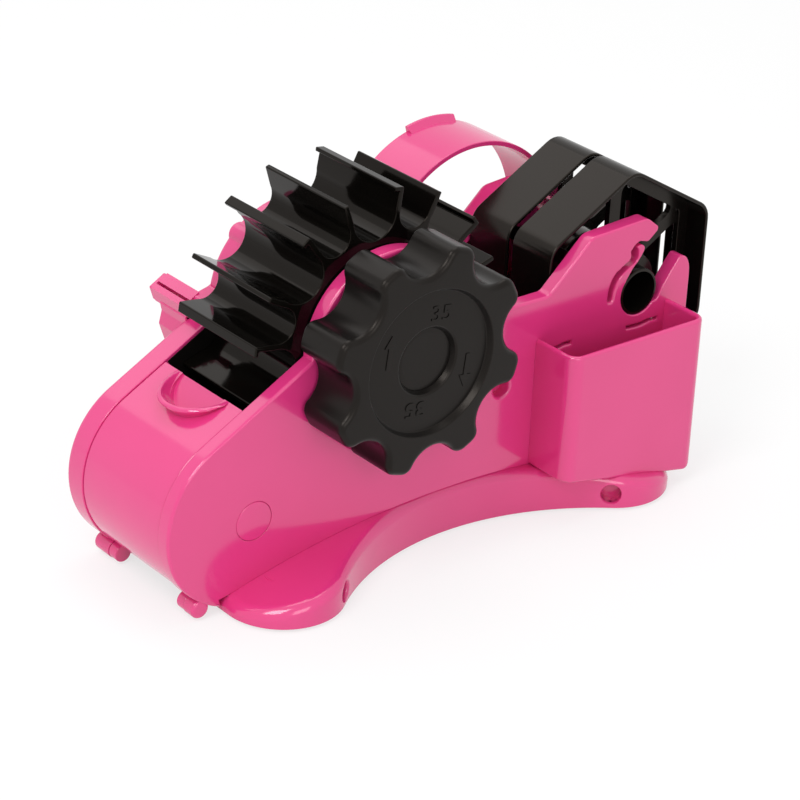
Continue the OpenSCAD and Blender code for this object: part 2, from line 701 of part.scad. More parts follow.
module knob() color(black) placed() {
  hollow_r = knob_r - flute_depth - knob_wall;
  hub_r = axle_r + 6.5;
  floor_y = knob_face_y + dish_depth + cap_t + head_h + 2.4;
  difference() {
    union() {
      difference() {
        across(knob_face_y, knob_back_y) knob_outline();
        bar(0, 0, hollow_r, knob_face_y + dial_depth + knob_wall + 2, knob_back_y + 1);
      }
      bar(0, 0, hub_r, knob_face_y + dial_depth, near_y - pass_gap - 0.2);
    }
    bar(0, 0, dial_r, knob_face_y - 1, knob_face_y + dial_depth);
    bar(0, 0, dish_r, knob_face_y - 1, knob_face_y + dish_depth + cap_t);
    bar(0, 0, head_r + 0.5, knob_face_y, floor_y - 2.4);
    bar(0, 0, screw_r + seat_gap, knob_face_y, floor_y + 1);
    bar(0, 0, axle_r, floor_y, near_y);
  }
}

module knob_screw() color(steel) placed() {
  translate([0, axle_near_y - 2.4, 0]) rotate([90, 0, 0]) screw(10);
}

module knob_cap() color(black) placed() {
  bar(0, 0, dish_r - seat_gap, knob_face_y + dish_depth, knob_face_y + dish_depth + cap_t);
}

// A hexagon with a corner on top and rounded corners, drawn in by inset
module spool_hexagon(inset) {
  r = max(spool_round - inset, 0.5);
  mid = spool_r - inset / cos(30) - r / cos(30);
  polygon([for (k = [0 : 11]) let (c = 90 + 60 * floor(k / 2), a = c + (k % 2 == 0 ? -30 : 30))
           [mid * cos(c) + r * cos(a), mid * sin(c) + r * sin(a)]]);
  for (k = [0 : 5]) translate([mid * cos(90 + 60 * k), mid * sin(90 + 60 * k)]) circle(r, $fn = 32);
}

// Band with hub and, near mid width, a web with six windows between spokes that run to the corners
module spool(y_lo) {
  web_lo = y_lo + (spool_w - spool_web) / 2 + spool_web_shift;
  translate([roll_dx, 0, -roll_drop]) difference() {
    union() {
      difference() {
        across(y_lo, y_lo + spool_w) spool_hexagon(0);
        across(y_lo - 1, web_lo) spool_hexagon(spool_wall);
        across(web_lo + spool_web, y_lo + spool_w + 1) spool_hexagon(spool_wall);
        across(web_lo - 1, web_lo + spool_web + 1) intersection() {
          spool_hexagon(spool_wall + spool_rim);
          difference() {
            circle(spool_r);
            circle(spool_hub_r + 3);
            for (k = [0 : 5]) rotate(60 * k) translate([-spoke_w / 2, 0]) square([spoke_w, spool_r]);
          }
        }
      }
      bar(0, 0, spool_hub_r, y_lo, y_lo + spool_w);
    }
    bar(0, 0, shaft_r + run_fit, y_lo - 1, y_lo + spool_w + 1);
  }
}

module near_spool() color(black) placed() {
  spool(-spool_gap / 2 - spool_w);
}

module far_spool() color(black) placed() {
  spool(spool_gap / 2);
}

// Hollow shaft with a collar that keeps the spools apart
module roll_shaft() color(black) placed() {
  translate([roll_dx, 0, -roll_drop]) difference() {
    union() {
      bar(0, 0, shaft_r, near_y + 1, far_y - 1);
      bar(0, 0, spool_hub_r - 0.5, -spool_gap / 2 + pass_gap, spool_gap / 2 - pass_gap);
    }
    bar(0, 0, shaft_r - shaft_wall, near_y, far_y);
  }
}

module box_plan(inset) {
  deep = box_d - inset;
  r = box_round - inset;
  translate([inset, -deep]) {
    translate([r, 0]) square([box_l - 2 * inset - 2 * r, deep]);
    translate([0, r]) square([box_l - 2 * inset, deep - r]);
    for (x = [r, box_l - 2 * inset - r]) translate([x, r]) circle(r);
  }
}

// Open box without a back, standing on the base's arched top
module pen_box() color(pink) placed() {
  rim = -box_drop - ground;
  difference() {
    union() {
      difference() {
        translate([box_dx, near_y - seat_gap, ground]) linear_extrude(rim) box_plan(0);
        translate([box_dx, near_y - seat_gap + 1, ground + box_wall + 0.1]) difference() {
          linear_extrude(rim) translate([0, -1]) union() {
            box_plan(box_wall);
            translate([box_wall, -1]) square([box_l - 2 * box_wall, 3]);
          }
          translate([-box_dx, 0, -ground - box_wall]) under_arch(box_wall);
        }
      }
      for (x = box_screw_x) bar(box_dx + x, box_screw_z, post_r - 1, near_y - box_bite - 1, near_y - seat_gap);
    }
    under_arch(seat_gap);
    for (x = box_screw_x) bar(box_dx + x, box_screw_z, screw_r, near_y - box_bite - 0.4, near_y);
  }
}

// Screws from inside the near shell into the pen box
module box_screws() color(steel) placed() {
  for (x = box_screw_x) translate([box_dx + x, near_y + wall, box_screw_z])
    rotate([-90, 0, 0]) screw(wall + box_bite);
}

// Thin ring that a spare roll's core slips over, with catches at its far edge
module spare_roll_ring() color(pink) placed() {
  y0 = far_y + seat_gap;
  translate([ring_dx, 0, -ring_drop]) difference() {
    union() {
      difference() {
        bar(0, 0, ring_r, y0, ring_far_y);
        bar(0, 0, ring_r - ring_wall, y0 - 1, ring_far_y + 1);
      }
      difference() {
        bar(0, 0, ring_r, y0, y0 + wall);
        bar(0, 0, ring_r - 11, y0 - 1, y0 + wall + 1);
        translate([-2 * ring_r, y0 - 1, ring_drop - deck_drop - 3]) cube([4 * ring_r, wall + 2, 2 * ring_r]);
      }
      for (a = [91, 211, 331]) translate([0, ring_far_y, 0]) rotate([90, 0, 0]) rotate(a - 14.5)
        rotate_extrude(angle = 29)
          polygon([[ring_r - 0.5, 0], [ring_r + catch_h, 0], [ring_r + catch_h, 1], [ring_r - 0.5, 3.5]]);
    }
    for (a = ring_screw_angles) bar((ring_r - ring_screw_in) * cos(a), (ring_r - ring_screw_in) * sin(a), screw_r, y0 - 1, y0 + wall + 1);
  }
}

// Screws from inside the far shell into the ring's flange
module ring_screws() color(steel) placed() {
  for (a = ring_screw_angles)
    translate([ring_dx + (ring_r - ring_screw_in) * cos(a), far_y - wall, -ring_drop + (ring_r - ring_screw_in) * sin(a)])
      rotate([90, 0, 0]) screw(2 * wall);
}

base();
rubber_feet();
near_shell();
far_shell();
shell_screws();
base_screws();
nose_cap();
nose_cover();
hinge_pins();
blade_bar();
cutting_blade();
blade_screws();
vane_wheel();
wheel_axle();
axle_cap();
knob();
knob_screw();
knob_cap();
roll_shaft();
near_spool();
far_spool();
pen_box();
box_screws();
spare_roll_ring();
ring_screws();
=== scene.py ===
import json
from math import acos, atan2, cos, degrees, radians, sin, sqrt, tan

import bmesh
import bpy
from mathutils import Matrix, Vector
from mathutils.geometry import tessellate_polygon

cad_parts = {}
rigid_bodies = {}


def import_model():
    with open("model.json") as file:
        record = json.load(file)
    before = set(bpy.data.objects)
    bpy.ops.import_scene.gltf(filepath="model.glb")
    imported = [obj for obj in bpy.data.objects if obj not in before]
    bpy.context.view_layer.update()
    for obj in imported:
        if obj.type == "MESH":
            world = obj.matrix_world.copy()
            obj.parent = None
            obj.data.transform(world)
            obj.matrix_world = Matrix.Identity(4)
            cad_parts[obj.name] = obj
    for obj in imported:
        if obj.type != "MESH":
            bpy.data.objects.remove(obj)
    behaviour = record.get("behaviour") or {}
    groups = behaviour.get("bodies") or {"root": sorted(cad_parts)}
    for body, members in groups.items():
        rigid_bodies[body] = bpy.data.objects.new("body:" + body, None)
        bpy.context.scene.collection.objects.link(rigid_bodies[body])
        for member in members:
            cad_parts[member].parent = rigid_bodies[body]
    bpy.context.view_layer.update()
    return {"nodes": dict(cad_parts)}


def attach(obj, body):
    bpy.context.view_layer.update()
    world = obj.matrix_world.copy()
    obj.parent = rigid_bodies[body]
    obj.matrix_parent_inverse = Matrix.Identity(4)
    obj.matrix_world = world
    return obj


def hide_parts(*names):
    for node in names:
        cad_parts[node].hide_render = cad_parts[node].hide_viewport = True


for leftover in list(bpy.data.objects):
    bpy.data.objects.remove(leftover)
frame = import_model()


# Base: a waisted foot plate with four round lobes and an arched top, moulded hollow in pink
# ABS. The shells and the pen box stand on its arch, and the shells are screwed on from
# below. A round socket is sunk in the side of each lobe.
WHEEL = Vector((-27.5576, -2.325, 72.0))
GROUND = -72.0
BASE_MID, LOBE_X, LOBE_Y, LOBE_R, WAIST = 25.0, 64.5, 27.4, 19.0, 24.2
WAIST_R = (LOBE_X ** 2 + (WAIST - LOBE_Y) ** 2 - LOBE_R ** 2) / (2 * (LOBE_R - WAIST + LOBE_Y))
CREST, ARCH_R, RIM_GAP, RIM_LIP, WALL, BASE_EDGE = 16.3, 310.0, 0.6, 1.4, 2.2, 3.4
SIDE_HOLE_R, SIDE_HOLE_Z, SIDE_HOLE_TURN = 3.2, -66.5, 40.0
SOCKET_CUT, SOCKET_FLOOR, SOCKET_WALL = -3.4, -4.4, 1.2
STUD_BORE, STUD_BOSS_R, STUD_BOSS_LO, STUD_BOSS_HI = 3.05, 5.4, GROUND + 3.3, GROUND + 8.5
DRIFT_MM, RUB_MM, RUB, BUMP_DEPTH = 38, 9, 0.015, 0.0002
SHARP_ANGLE, EVEN_WEIGHT = radians(38), 80


def at(x, y, z):
    """A place in millimetres from the wheel's middle, as metres in the shared frame."""
    return (Vector((x, y, z)) + WHEEL) / 1000


def arc(centre, radius, start, end, steps):
    """Points along a round, between two angles in degrees."""
    turns = [radians(start + (end - start) * k / steps) for k in range(steps + 1)]
    return [Vector((centre[0] + radius * cos(t), centre[1] + radius * sin(t))) for t in turns]


def circle(radius, steps, centre=(0, 0), phase=0):
    """Points all round, without the first one again."""
    return arc(centre, radius, phase, phase + 360 - 360 / steps, steps - 1)


def strip(bm, rows, closed=True):
    """Joins rows of points, all of one length, with four-sided faces. Returns their vertices."""
    rows = [[bm.verts.new(p) for p in row] for row in rows]
    for low, high in zip(rows, rows[1:]):
        for k in range(len(low) if closed else len(low) - 1):
            n = (k + 1) % len(low)
            bm.faces.new((low[k], low[n], high[n], high[k]))
    return rows


def ladder(bm, edge):
    """Closes a loop of vertices, whose two halves mirror each other, with four-sided faces."""
    for k in range(len(edge) // 2 - 1):
        bm.faces.new((edge[k], edge[k + 1], edge[-2 - k], edge[-1 - k]))


def tidy(bm, merge_mm=0.002):
    """Merges doubled points and turns every face outwards."""
    bmesh.ops.remove_doubles(bm, verts=bm.verts, dist=merge_mm / 1000)
    bmesh.ops.dissolve_degenerate(bm, edges=bm.edges, dist=merge_mm / 4000)
    bmesh.ops.recalc_face_normals(bm, faces=bm.faces)


def put(name, data):
    """A new object in the scene."""
    item = bpy.data.objects.new(name, data)
    bpy.context.collection.objects.link(item)
    return item


def baked(bm, name):
    """The mesh that a bmesh holds. The bmesh itself goes."""
    mesh = bpy.data.meshes.new(name)
    bm.to_mesh(mesh)
    bm.free()
    return mesh


def shown(bm, name):
    """A mesh object made from a bmesh."""
    return put(name, baked(bm, name))


def settled(piece):
    """The mesh that an object's modifiers give. The object itself goes."""
    graph = bpy.context.evaluated_depsgraph_get()
    mesh = bpy.data.meshes.new_from_object(piece.evaluated_get(graph))
    bpy.data.objects.remove(piece)
    return mesh


def cut(bm, tool):
    """Takes one closed form out of another."""
    for form in (bm, tool):
        tidy(form)
    piece, cutter = shown(bm, "piece"), shown(tool, "cutter")
    bite = piece.modifiers.new("bite", "BOOLEAN")
    bite.operation, bite.solver, bite.object = "DIFFERENCE", "EXACT", cutter
    result = bmesh.new()
    result.from_mesh(settled(piece))
    bpy.data.objects.remove(cutter)
    return result


def join(bm, form):
    """Adds one form's faces to another."""
    bm.from_mesh(baked(form, "joined"))


def linear(code):
    """An sRGB hex colour as the linear colour that a shader takes."""
    parts = [int(code[k:k + 2], 16) / 255 for k in (1, 3, 5)]
    return [c / 12.92 if c <= 0.04045 else ((c + 0.055) / 1.055) ** 2.4 for c in parts] + [1.0]


def add(tree, kind, settings=(), links=()):
    """Adds a node, sets its options and input values, and links inputs to sockets or to nodes' first outputs."""
    node = tree.nodes.new(kind)
    for name, value in dict(settings).items():
        if isinstance(name, str) and hasattr(node, name):
            setattr(node, name, value)
        else:
            node.inputs[name].default_value = value
    for name, source in dict(links).items():
        if isinstance(source, bpy.types.Node):
            source = source.outputs[0]
        tree.links.new(source, node.inputs[name])
    return node


def blank(owner):
    """The emptied node tree of a material or a world."""
    owner.use_nodes = True
    owner.node_tree.nodes.clear()
    return owner.node_tree


def moulded(name, tint, deep, gloss, grain_mm, grain, shine, glint="#FFFFFF"):
    """Injection-moulded plastic: two near tints in slow drifts, and the mould's fine skin as bump."""
    material = bpy.data.materials.new(name)
    tree = blank(material)
    place = add(tree, "ShaderNodeTexCoord").outputs["Object"]
    drift = add(tree, "ShaderNodeTexNoise", {"Scale": 1000 / DRIFT_MM, "Detail": 2.0}, {"Vector": place})
    colour = add(tree, "ShaderNodeValToRGB", (), {"Fac": drift})
    low, high = colour.color_ramp.elements
    low.position, high.position = 0.3, 0.7
    low.color, high.color = linear(deep), linear(tint)
    rub = add(tree, "ShaderNodeTexNoise", {"Scale": 1000 / RUB_MM, "Detail": 3.0}, {"Vector": place})
    sheen = add(tree, "ShaderNodeMapRange", {"To Min": gloss - RUB, "To Max": gloss + RUB}, {"Value": rub})
    skin = add(tree, "ShaderNodeTexNoise", {"Scale": 1000 / grain_mm, "Detail": 2.0}, {"Vector": place})
    bump = add(tree, "ShaderNodeBump", {"Strength": grain, "Distance": BUMP_DEPTH}, {"Height": skin})
    shader = add(tree, "ShaderNodeBsdfPrincipled",
                 {"IOR": 1.5, "Specular IOR Level": shine, "Specular Tint": linear(glint)},
                 {"Base Color": colour, "Roughness": sheen, "Normal": bump})
    add(tree, "ShaderNodeOutputMaterial", (), {"Surface": shader})
    return material


def finish_piece(name, form, material, body, nodes):
    """Gives a form its material and lets it ride on its body in place of its CAD nodes."""
    tidy(form)
    piece = shown(form, name)
    piece.data.materials.clear()
    piece.data.materials.append(material)
    piece.data.shade_smooth()
    piece.data.set_sharp_from_angle(angle=SHARP_ANGLE)
    even = piece.modifiers.new("even_normals", "WEIGHTED_NORMAL")
    even.keep_sharp, even.weight = True, EVEN_WEIGHT
    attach(piece, body)
    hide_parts(*nodes)


def arch(x):
    """Height of the base's arched top."""
    return GROUND + CREST - ARCH_R + sqrt(ARCH_R ** 2 - (x - BASE_MID) ** 2)


def base_edge(inset):
    """The base's outline drawn in by inset: far side from nose to rear, then near side back."""
    touch = degrees(atan2(WAIST + WAIST_R - LOBE_Y, LOBE_X))
    far = (arc((BASE_MID - LOBE_X, LOBE_Y), LOBE_R - inset, 180, touch, 26)
           + arc((BASE_MID, WAIST + WAIST_R), WAIST_R + inset, 180 + touch, 360 - touch, 40)[1:-1]
           + arc((BASE_MID + LOBE_X, LOBE_Y), LOBE_R - inset, 180 - touch, 0, 26))
    return far + [Vector((p.x, -p.y)) for p in reversed(far)]


# Pink ABS straight from a polished mould: an even, saturated pink with soft reflections.
PINK = moulded("pink_abs", "#DA387E", "#D6347A", 0.13, 0.5, 0.008, 0.75)
base = bmesh.new()
outside = [[at(p.x, p.y, GROUND + RIM_GAP + up) for p in base_edge(inset)]
           for inset, up in ((RIM_LIP, 0), (0.5, 0), (0.1, 0.2), (0, 0.6))]
for k in range(9):
    t = radians(90 * k / 8)
    outside.append([at(p.x, p.y, arch(p.x) - BASE_EDGE * (1 - sin(t)))
                    for p in base_edge(BASE_EDGE * (1 - cos(t)))])
inside = [[at(p.x, p.y, GROUND + RIM_GAP) for p in base_edge(RIM_LIP)],
          [at(p.x, p.y, GROUND + RIM_GAP + 0.4) for p in base_edge(WALL)],
          [at(p.x, p.y, arch(p.x) - WALL) for p in base_edge(WALL + 0.6)]]
for rows in (outside, inside):
    ladder(base, strip(base, rows)[-1])


def rings(bm, centre, out, profile, z):
    """A round form about a level line. The profile gives place along the line and radius."""
    side = Vector((-out.y, out.x))
    rows = []
    for along, r in profile:
        places = [(centre + out * along + side * q.x, z + q.y) for q in circle(r, 30)]
        rows.append([at(p.x, p.y, up) for p, up in places])
    strip(bm, rows)


cups = bmesh.new()
for sx, sy in ((-1, -1), (-1, 1), (1, -1), (1, 1)):
    turn = radians(SIDE_HOLE_TURN)
    out = Vector((-sx * sin(turn), sy * cos(turn)))
    lobe = Vector((BASE_MID + sx * LOBE_X, sy * LOBE_Y))
    mouth = [(place, SIDE_HOLE_R + wider)
             for place, wider in ((-0.7, 0), (-0.3, 0.1), (0.05, 0.4), (0.3, 0.9), (4, 1.2))]
    bore = bmesh.new()
    rings(bore, lobe + out * LOBE_R, out,
          [(SOCKET_CUT, 0), (SOCKET_CUT, SIDE_HOLE_R)] + mouth + [(4, 0)], SIDE_HOLE_Z)
    base = cut(base, bore)
    wide = SIDE_HOLE_R + SOCKET_WALL
    rings(cups, lobe + out * LOBE_R, out,
          ((SOCKET_FLOOR, 0), (SOCKET_FLOOR, SIDE_HOLE_R), (-1.2, SIDE_HOLE_R), (-1.2, wide),
           (SOCKET_FLOOR - SOCKET_WALL, wide), (SOCKET_FLOOR - SOCKET_WALL, 0)), SIDE_HOLE_Z)
    sleeve = ((STUD_BORE, STUD_BOSS_HI), (STUD_BORE, STUD_BOSS_LO), (STUD_BOSS_R, STUD_BOSS_LO),
              (STUD_BOSS_R, STUD_BOSS_HI), (STUD_BORE, STUD_BOSS_HI))
    strip(cups, [[at(lobe.x + p.x, lobe.y + p.y, z) for p in circle(r, 24)] for r, z in sleeve])
join(base, cups)
finish_piece("base_plate", base, PINK, "body", ["base"])


# Rubber feet: four soft pads, each a shallow cup with a stud that is pressed into a boss
# of the base. They're moulded in one go from dark grey rubber.
FOOT_R, FOOT_H, STUD_R, STUD_H = 11.0, 3.2, 3.0, 3.2
WELD = 0.000004
AXIS = 0.001  # stands for a radius of nought where a turned form closes


def rounded(corners, closed=False):
    """A path of straight lines whose corners, given as x, z and radius, are rounded."""
    path, count = [], len(corners)
    for k, (x, z, r) in enumerate(corners):
        here = Vector((x, z))
        if r == 0 or (not closed and k in (0, count - 1)):
            path.append(here)
            continue
        back, on = Vector(corners[k - 1][:2]) - here, Vector(corners[(k + 1) % count][:2]) - here
        half = back.angle(on) / 2
        reach = min(r / tan(half), 0.49 * back.length, 0.49 * on.length)
        r = reach * tan(half)
        middle = here + (back.normalized() + on.normalized()).normalized() * r / sin(half)
        start = here + back.normalized() * reach - middle
        sweep = start.angle_signed(here + on.normalized() * reach - middle)
        steps = max(2, round(abs(sweep) / radians(11)))
        path += [middle + Matrix.Rotation(-sweep * i / steps, 2) @ start for i in range(steps + 1)]
    return path


def repeat_tree(name, sizes):
    """A node tree that takes a form, a centre, named sizes and a finish, and the sockets that give them."""
    tree = bpy.data.node_groups.new(name, "GeometryNodeTree")
    tree.interface.new_socket("Geometry", in_out="OUTPUT", socket_type="NodeSocketGeometry")
    for label, kind in {"Geometry": "Geometry", "Centre": "Vector", **sizes, "Finish": "Material"}.items():
        tree.interface.new_socket(label, in_out="INPUT", socket_type="NodeSocket" + kind)
    return tree, add(tree, "NodeGroupInput").outputs


def copy_at(tree, given, points, turns=()):
    """Puts a copy of the form at each point about the centre, welds them where they meet, and coats them."""
    moved = add(tree, "GeometryNodeTransform", (), {"Geometry": points, "Translation": given["Centre"]})
    copies = add(tree, "GeometryNodeInstanceOnPoints", (),
                 {"Points": moved, "Instance": given["Geometry"], **dict(turns)})
    real = add(tree, "GeometryNodeRealizeInstances", (), {"Geometry": copies})
    weld = add(tree, "GeometryNodeMergeByDistance", {"Distance": WELD}, {"Geometry": real})
    coat = add(tree, "GeometryNodeSetMaterial", (), {"Geometry": weld, "Material": given["Finish"]})
    add(tree, "NodeGroupOutput", (), {"Geometry": coat})
    return tree


def repeat(bm, form, tree, values):
    """Runs a form through a node tree and adds what comes out to a bmesh."""
    tidy(form)
    piece = shown(form, "template")
    way = piece.modifiers.new("repeat", "NODES")
    way.node_group = tree
    for item in tree.interface.items_tree:
        if item.in_out == "INPUT" and item.name in values:
            way[item.identifier] = values[item.name]
    bm.from_mesh(settled(piece))


def four_corners():
    """One copy at each corner of a rectangle, for the feet."""
    tree, given = repeat_tree("four_corners", {"Length": "Float", "Width": "Float"})
    grid = add(tree, "GeometryNodeMeshGrid", {"Vertices X": 2, "Vertices Y": 2},
               {"Size X": given["Length"], "Size Y": given["Width"]})
    return copy_at(tree, given, grid)


# Grey rubber, matt and slightly dusty, with a fine mould grain.
RUBBER = moulded("grey_rubber", "#3A3A3A", "#303030", 0.72, 0.4, 0.15, 0.3)
foot = bmesh.new()
profile = rounded([(AXIS, 1.4, 0), (FOOT_R - 3.4, 0.8, 2), (FOOT_R - 1.6, 0, 1.0), (FOOT_R, 0, 0.5),
                   (FOOT_R, 1.3, 0.6), (5.0, FOOT_H, 0), (STUD_R, FOOT_H, 0),
                   (STUD_R, FOOT_H + STUD_H, 0.6), (AXIS, FOOT_H + STUD_H, 0)])
strip(foot, [[Vector((p.x, p.y, q.y)) / 1000 for p in circle(q.x, 48)] for q in profile])
feet = bmesh.new()
repeat(feet, foot, four_corners(), {"Length": 2 * LOBE_X / 1000, "Width": 2 * LOBE_Y / 1000,
                                    "Centre": at(BASE_MID, 0, GROUND), "Finish": RUBBER})
finish_piece("rubber_pads", feet, RUBBER, "body", ["rubber_feet"])


# Near shell: the side plate on the knob's side, moulded in pink ABS. Its cheek at the rear
# carries a springy snap arm beside the seat of the roll shaft. Three posts reach across to
# the far shell, and plates inside close two narrow slots behind the pen box.
NOSE, NOSE_R, SLOPE = Vector((-49.9, -43.4)), 28.0, 28.9
EAR_R, DECK, REAR, ROLL, SEAT_R = 28.2, -1.3, 121.0, Vector((99.5, -9.4)), 7.7
NEAR, INNER, FAR = -24.4, 19.5, 28.2
CAP, CAP_R, HINGE, KNUCKLE_R = Vector((-47.9, -44.9)), 6.2, Vector((-65.962, -68.5)), 3.0
POSTS, POST_R = [CAP, Vector((52, -45)), Vector((112, -58))], 4.6
RECESS, RECESS_R, RECESS_BOSS = Vector((44.4, -27.6)), 3.15, 4.8
AXLE_HOLE, HUB_BOSS, SCREW_HOLE, ROOT = 4.3, 11.5, 3.05, 1.2
LUGS, LUG_HALF, LUG_TOP, LUG_END = (8, 76), 4.6, -49.7, 9.3
BLADE_TURN, TIP_R, BLADE_GAP = 216.0, 45.0, 0.8
BOX_X, BOX_L = 57.2, 55.8
BOX_SCREWS = [(BOX_X + x, -52.0) for x in (4.6, BOX_L - 4.6)]
SLOTS, SLOT_HALF = ((60.6, -19.8, 11.4), (95.4, -20.7, 12.9)), 0.45
SLOT_PLATES = ((59.4, -19.8, 13.8), (94.2, -20.6, 15.3))
SNAP = [(-4.9, 14.8), (-4.6, 13), (-5.6, 11.6), (-8, 10.4), (-11, 7.8), (-12.7, 4.2), (-13.1, 0.2),
        (-12.2, -0.7), (-11.2, 0), (-10.6, 3.2), (-8.7, 6.8), (-5.2, 9.2), (-2.6, 10.6), (-1.5, 12),
        (-1.6, 14.2), (-2.2, 15.7), (-0.4, 16.1), (1, 14.9), (0.2, 12.8), (-1.4, 10.8), (-3.6, 8.5), (-6.0, 5)]
HORN = [(6.2, -4.8), (8.1, -4.3), (9.6, -1.6), (12.4, 2.5), (16.2, 7.4), (17.6, 8.1), (19.8, 7), (21.2, 4),
        (21.5, 0)]


def toward(turn):
    """The direction that an angle in degrees gives."""
    return Vector((cos(radians(turn)), sin(radians(turn))))


along, blade_out = toward(SLOPE), toward(BLADE_TURN)
lift, blade_up = Vector((-along.y, along.x)), Vector((-blade_out.y, blade_out.x))


def flow(points, fine=4):
    """A smooth path through points."""
    points = [Vector(p) for p in points]
    points = [2 * points[0] - points[1]] + points + [2 * points[-1] - points[-2]]
    path = []
    for a, b, c, d in zip(points, points[1:], points[2:], points[3:]):
        for t in (k / fine for k in range(fine)):
            path.append(0.5 * (2 * b + (c - a) * t + (2 * a - 5 * b + 4 * c - d) * t ** 2
                               + (3 * b - a - 3 * c + d) * t ** 3))
    return path + [points[-2]]


def hole(centre, radius, steps=40):
    """A round hole's edge, clockwise."""
    return arc(centre, radius, 360, 360 / steps, steps - 1)


def shell_edge():
    """A shell's side outline, counter-clockwise: foot, nose, slope, ear, deck, cheek, snap arm and horn."""
    front = BASE_MID - LOBE_X - LOBE_R - 0.3
    low = 180 + degrees(acos((NOSE.x - front) / NOSE_R))
    path = arc(NOSE, NOSE_R, low, 90 + SLOPE, 44) + arc((0, 0), EAR_R, 178.9, -2.6, 64)
    path += rounded([(EAR_R + 0.3, DECK, 0), (61.5, DECK, 3), (77.9, 13.9, 4.5), (100.8, 15.1, 4),
                     (106.3, 10.8, 1.3), (101.7, 7.1, 1.6), (98, 8.1, 1.2), (95.9, 7, 0)])
    path += [p + ROLL for p in flow(SNAP, 3)] + arc(ROLL, SEAT_R, 141, 321, 36)
    path += [p + ROLL for p in flow(HORN)] + arc((REAR - 8, -57.5), 8, 0, -90, 10) + [Vector((105, -65.5))]
    path += [Vector((x, arch(x) - 0.05)) for x in [105 - 4.11 * k for k in range(41)]]
    kept = [path[0]]
    for p in path[1:]:
        if (p - kept[-1]).length > 0.08:
            kept.append(p)
    return kept[::-1]


def rolled(path, y_lo, y_hi, r_lo, r_hi, soft=lambda p: 1, steps=4, closed=True):
    """Rows along a flat form's flank, from its low face to its high one, with both edges rounded."""
    lean = []
    for k, here in enumerate(path):
        if not closed and k in (0, len(path) - 1):
            lean.append(-here.normalized())
            continue
        a, b = (here - path[k - 1]).normalized(), (path[(k + 1) % len(path)] - here).normalized()
        inward = Vector((-a.y - b.y, a.x + b.x)).normalized()
        lean.append(inward / max(0.6, inward.dot(Vector((-a.y, a.x)))) * soft(here))
    rows = []
    for y, r, way in ((y_lo, r_lo, 1), (y_hi, r_hi, -1)):
        for k in range(steps + 1)[::way]:
            t = radians(90 * k / steps)
            rows.append([(p + q * r * (1 - sin(t)), y + way * r * soft(p) * (1 - cos(t)))
                         for p, q in zip(path, lean)])
    return rows


def face_over(bm, edges):
    """Closes flat loops of vertices, the later ones holes in the first, with triangles."""
    corners = [v for edge in edges for v in edge]
    for trio in tessellate_polygon([[Vector((v.co.x, v.co.z, 0)) for v in edge] for edge in edges]):
        if len(set(trio)) == 3:
            bm.faces.new([corners[k] for k in trio])


def moulding(bm, loops, *form, **more):
    """A flat form with rounded edges from [x, z] loops: the outer one counter-clockwise, holes clockwise."""
    flanks = []
    for loop in loops:
        flanks.append(strip(bm, [[at(p.x, y, p.y) for p, y in row] for row in rolled(loop, *form, **more)]))
    for end in (0, -1):
        face_over(bm, [rows[end] for rows in flanks])


def turned(bm, centre, corners, steps=48, phase=0):
    """A round form about a line across the width, from corners with place across, radius and rounding."""
    strip(bm, [[at(p.x, y, p.y) for p in circle(r, steps, centre, phase)] for y, r in rounded(corners)])


def peg(bm, centre, y_lo, y_hi, radius, r_lo, r_hi, steps=36):
    """A solid round form across the width with rounded ends."""
    turned(bm, centre, [(y_lo, AXIS, 0), (y_lo, radius, r_lo), (y_hi, radius, r_hi), (y_hi, AXIS, 0)], steps)


def slim(p):
    """Edges are rounded less round the nose cap, on the cheek's slender arms and along the foot."""
    if (p - CAP).length < CAP_R + 1:
        return 0.15
    if p.x > 90 and p.y > -20:
        return 0.5
    return 0.3 if -57 < p.x < 104 and p.y < arch(p.x) + 0.3 else 1


def slot(x, z, length):
    """A wavy slot's edge, clockwise."""
    middle = flow([(x, z), (x + 0.27 * length, z - 0.3), (x + 0.52 * length, z - 0.2),
                   (x + 0.75 * length, z + 0.3), (x + length, z + 0.2)], 3)
    half = Vector((0, SLOT_HALF))
    return [p + half for p in middle] + [p - half for p in middle[::-1]]


def lugs(bm, side):
    """The two lugs at a shell's foot that the base's screws enter."""
    for x in LUGS:
        lo, hi, foot = x - LUG_HALF, x + LUG_HALF, arch(x) + 0.1
        edge = rounded([(lo, foot, 0), (hi, foot, 0), (hi, LUG_TOP, 2), (lo, LUG_TOP, 2)], True)
        y_lo, y_hi = sorted((side * (INNER + 0.2), side * LUG_END))
        moulding(bm, [edge], y_lo, y_hi, 0.4, 0.4)


def shell_room():
    """The hollow of a shell: its outline drawn in by the wall, without the cheek's arms."""
    start, ear = NOSE + lift * (NOSE_R - WALL), EAR_R - WALL
    reach = -start.dot(along) - sqrt(start.dot(along) ** 2 - start.dot(start) + ear ** 2)
    meet = start + along * reach
    path = arc(NOSE, NOSE_R - WALL, 186, 90 + SLOPE, 30)
    path += arc((0, 0), ear, degrees(atan2(meet.y, meet.x)) % 360, -7.7, 40)
    path += [Vector(p) for p in (
        (62.4, DECK - WALL), (78.8, 11.6), (92.5, 12.4), (86.8, 4), (84, -4), (84, -10), (88, -18), (95, -21),
        (104, -21.5), (112, -17), (118.6, -10), (118.6, -57), (112, -62.8))]
    path += [Vector((x, arch(x) + WALL)) for x in range(105, -51, -5)]
    return path[::-1]


def boss(bm, centre, y_skin, y_open, bore, radius):
    """A round post inside a shell, with a bore if that isn't nought."""
    inner = max(bore, AXIS)
    turned(bm, centre, [
        (y_skin, inner, 0), (y_skin, radius, 0), (y_open, radius, 0.3), (y_open, inner, 0),
        (y_skin, inner, 0)], 36)


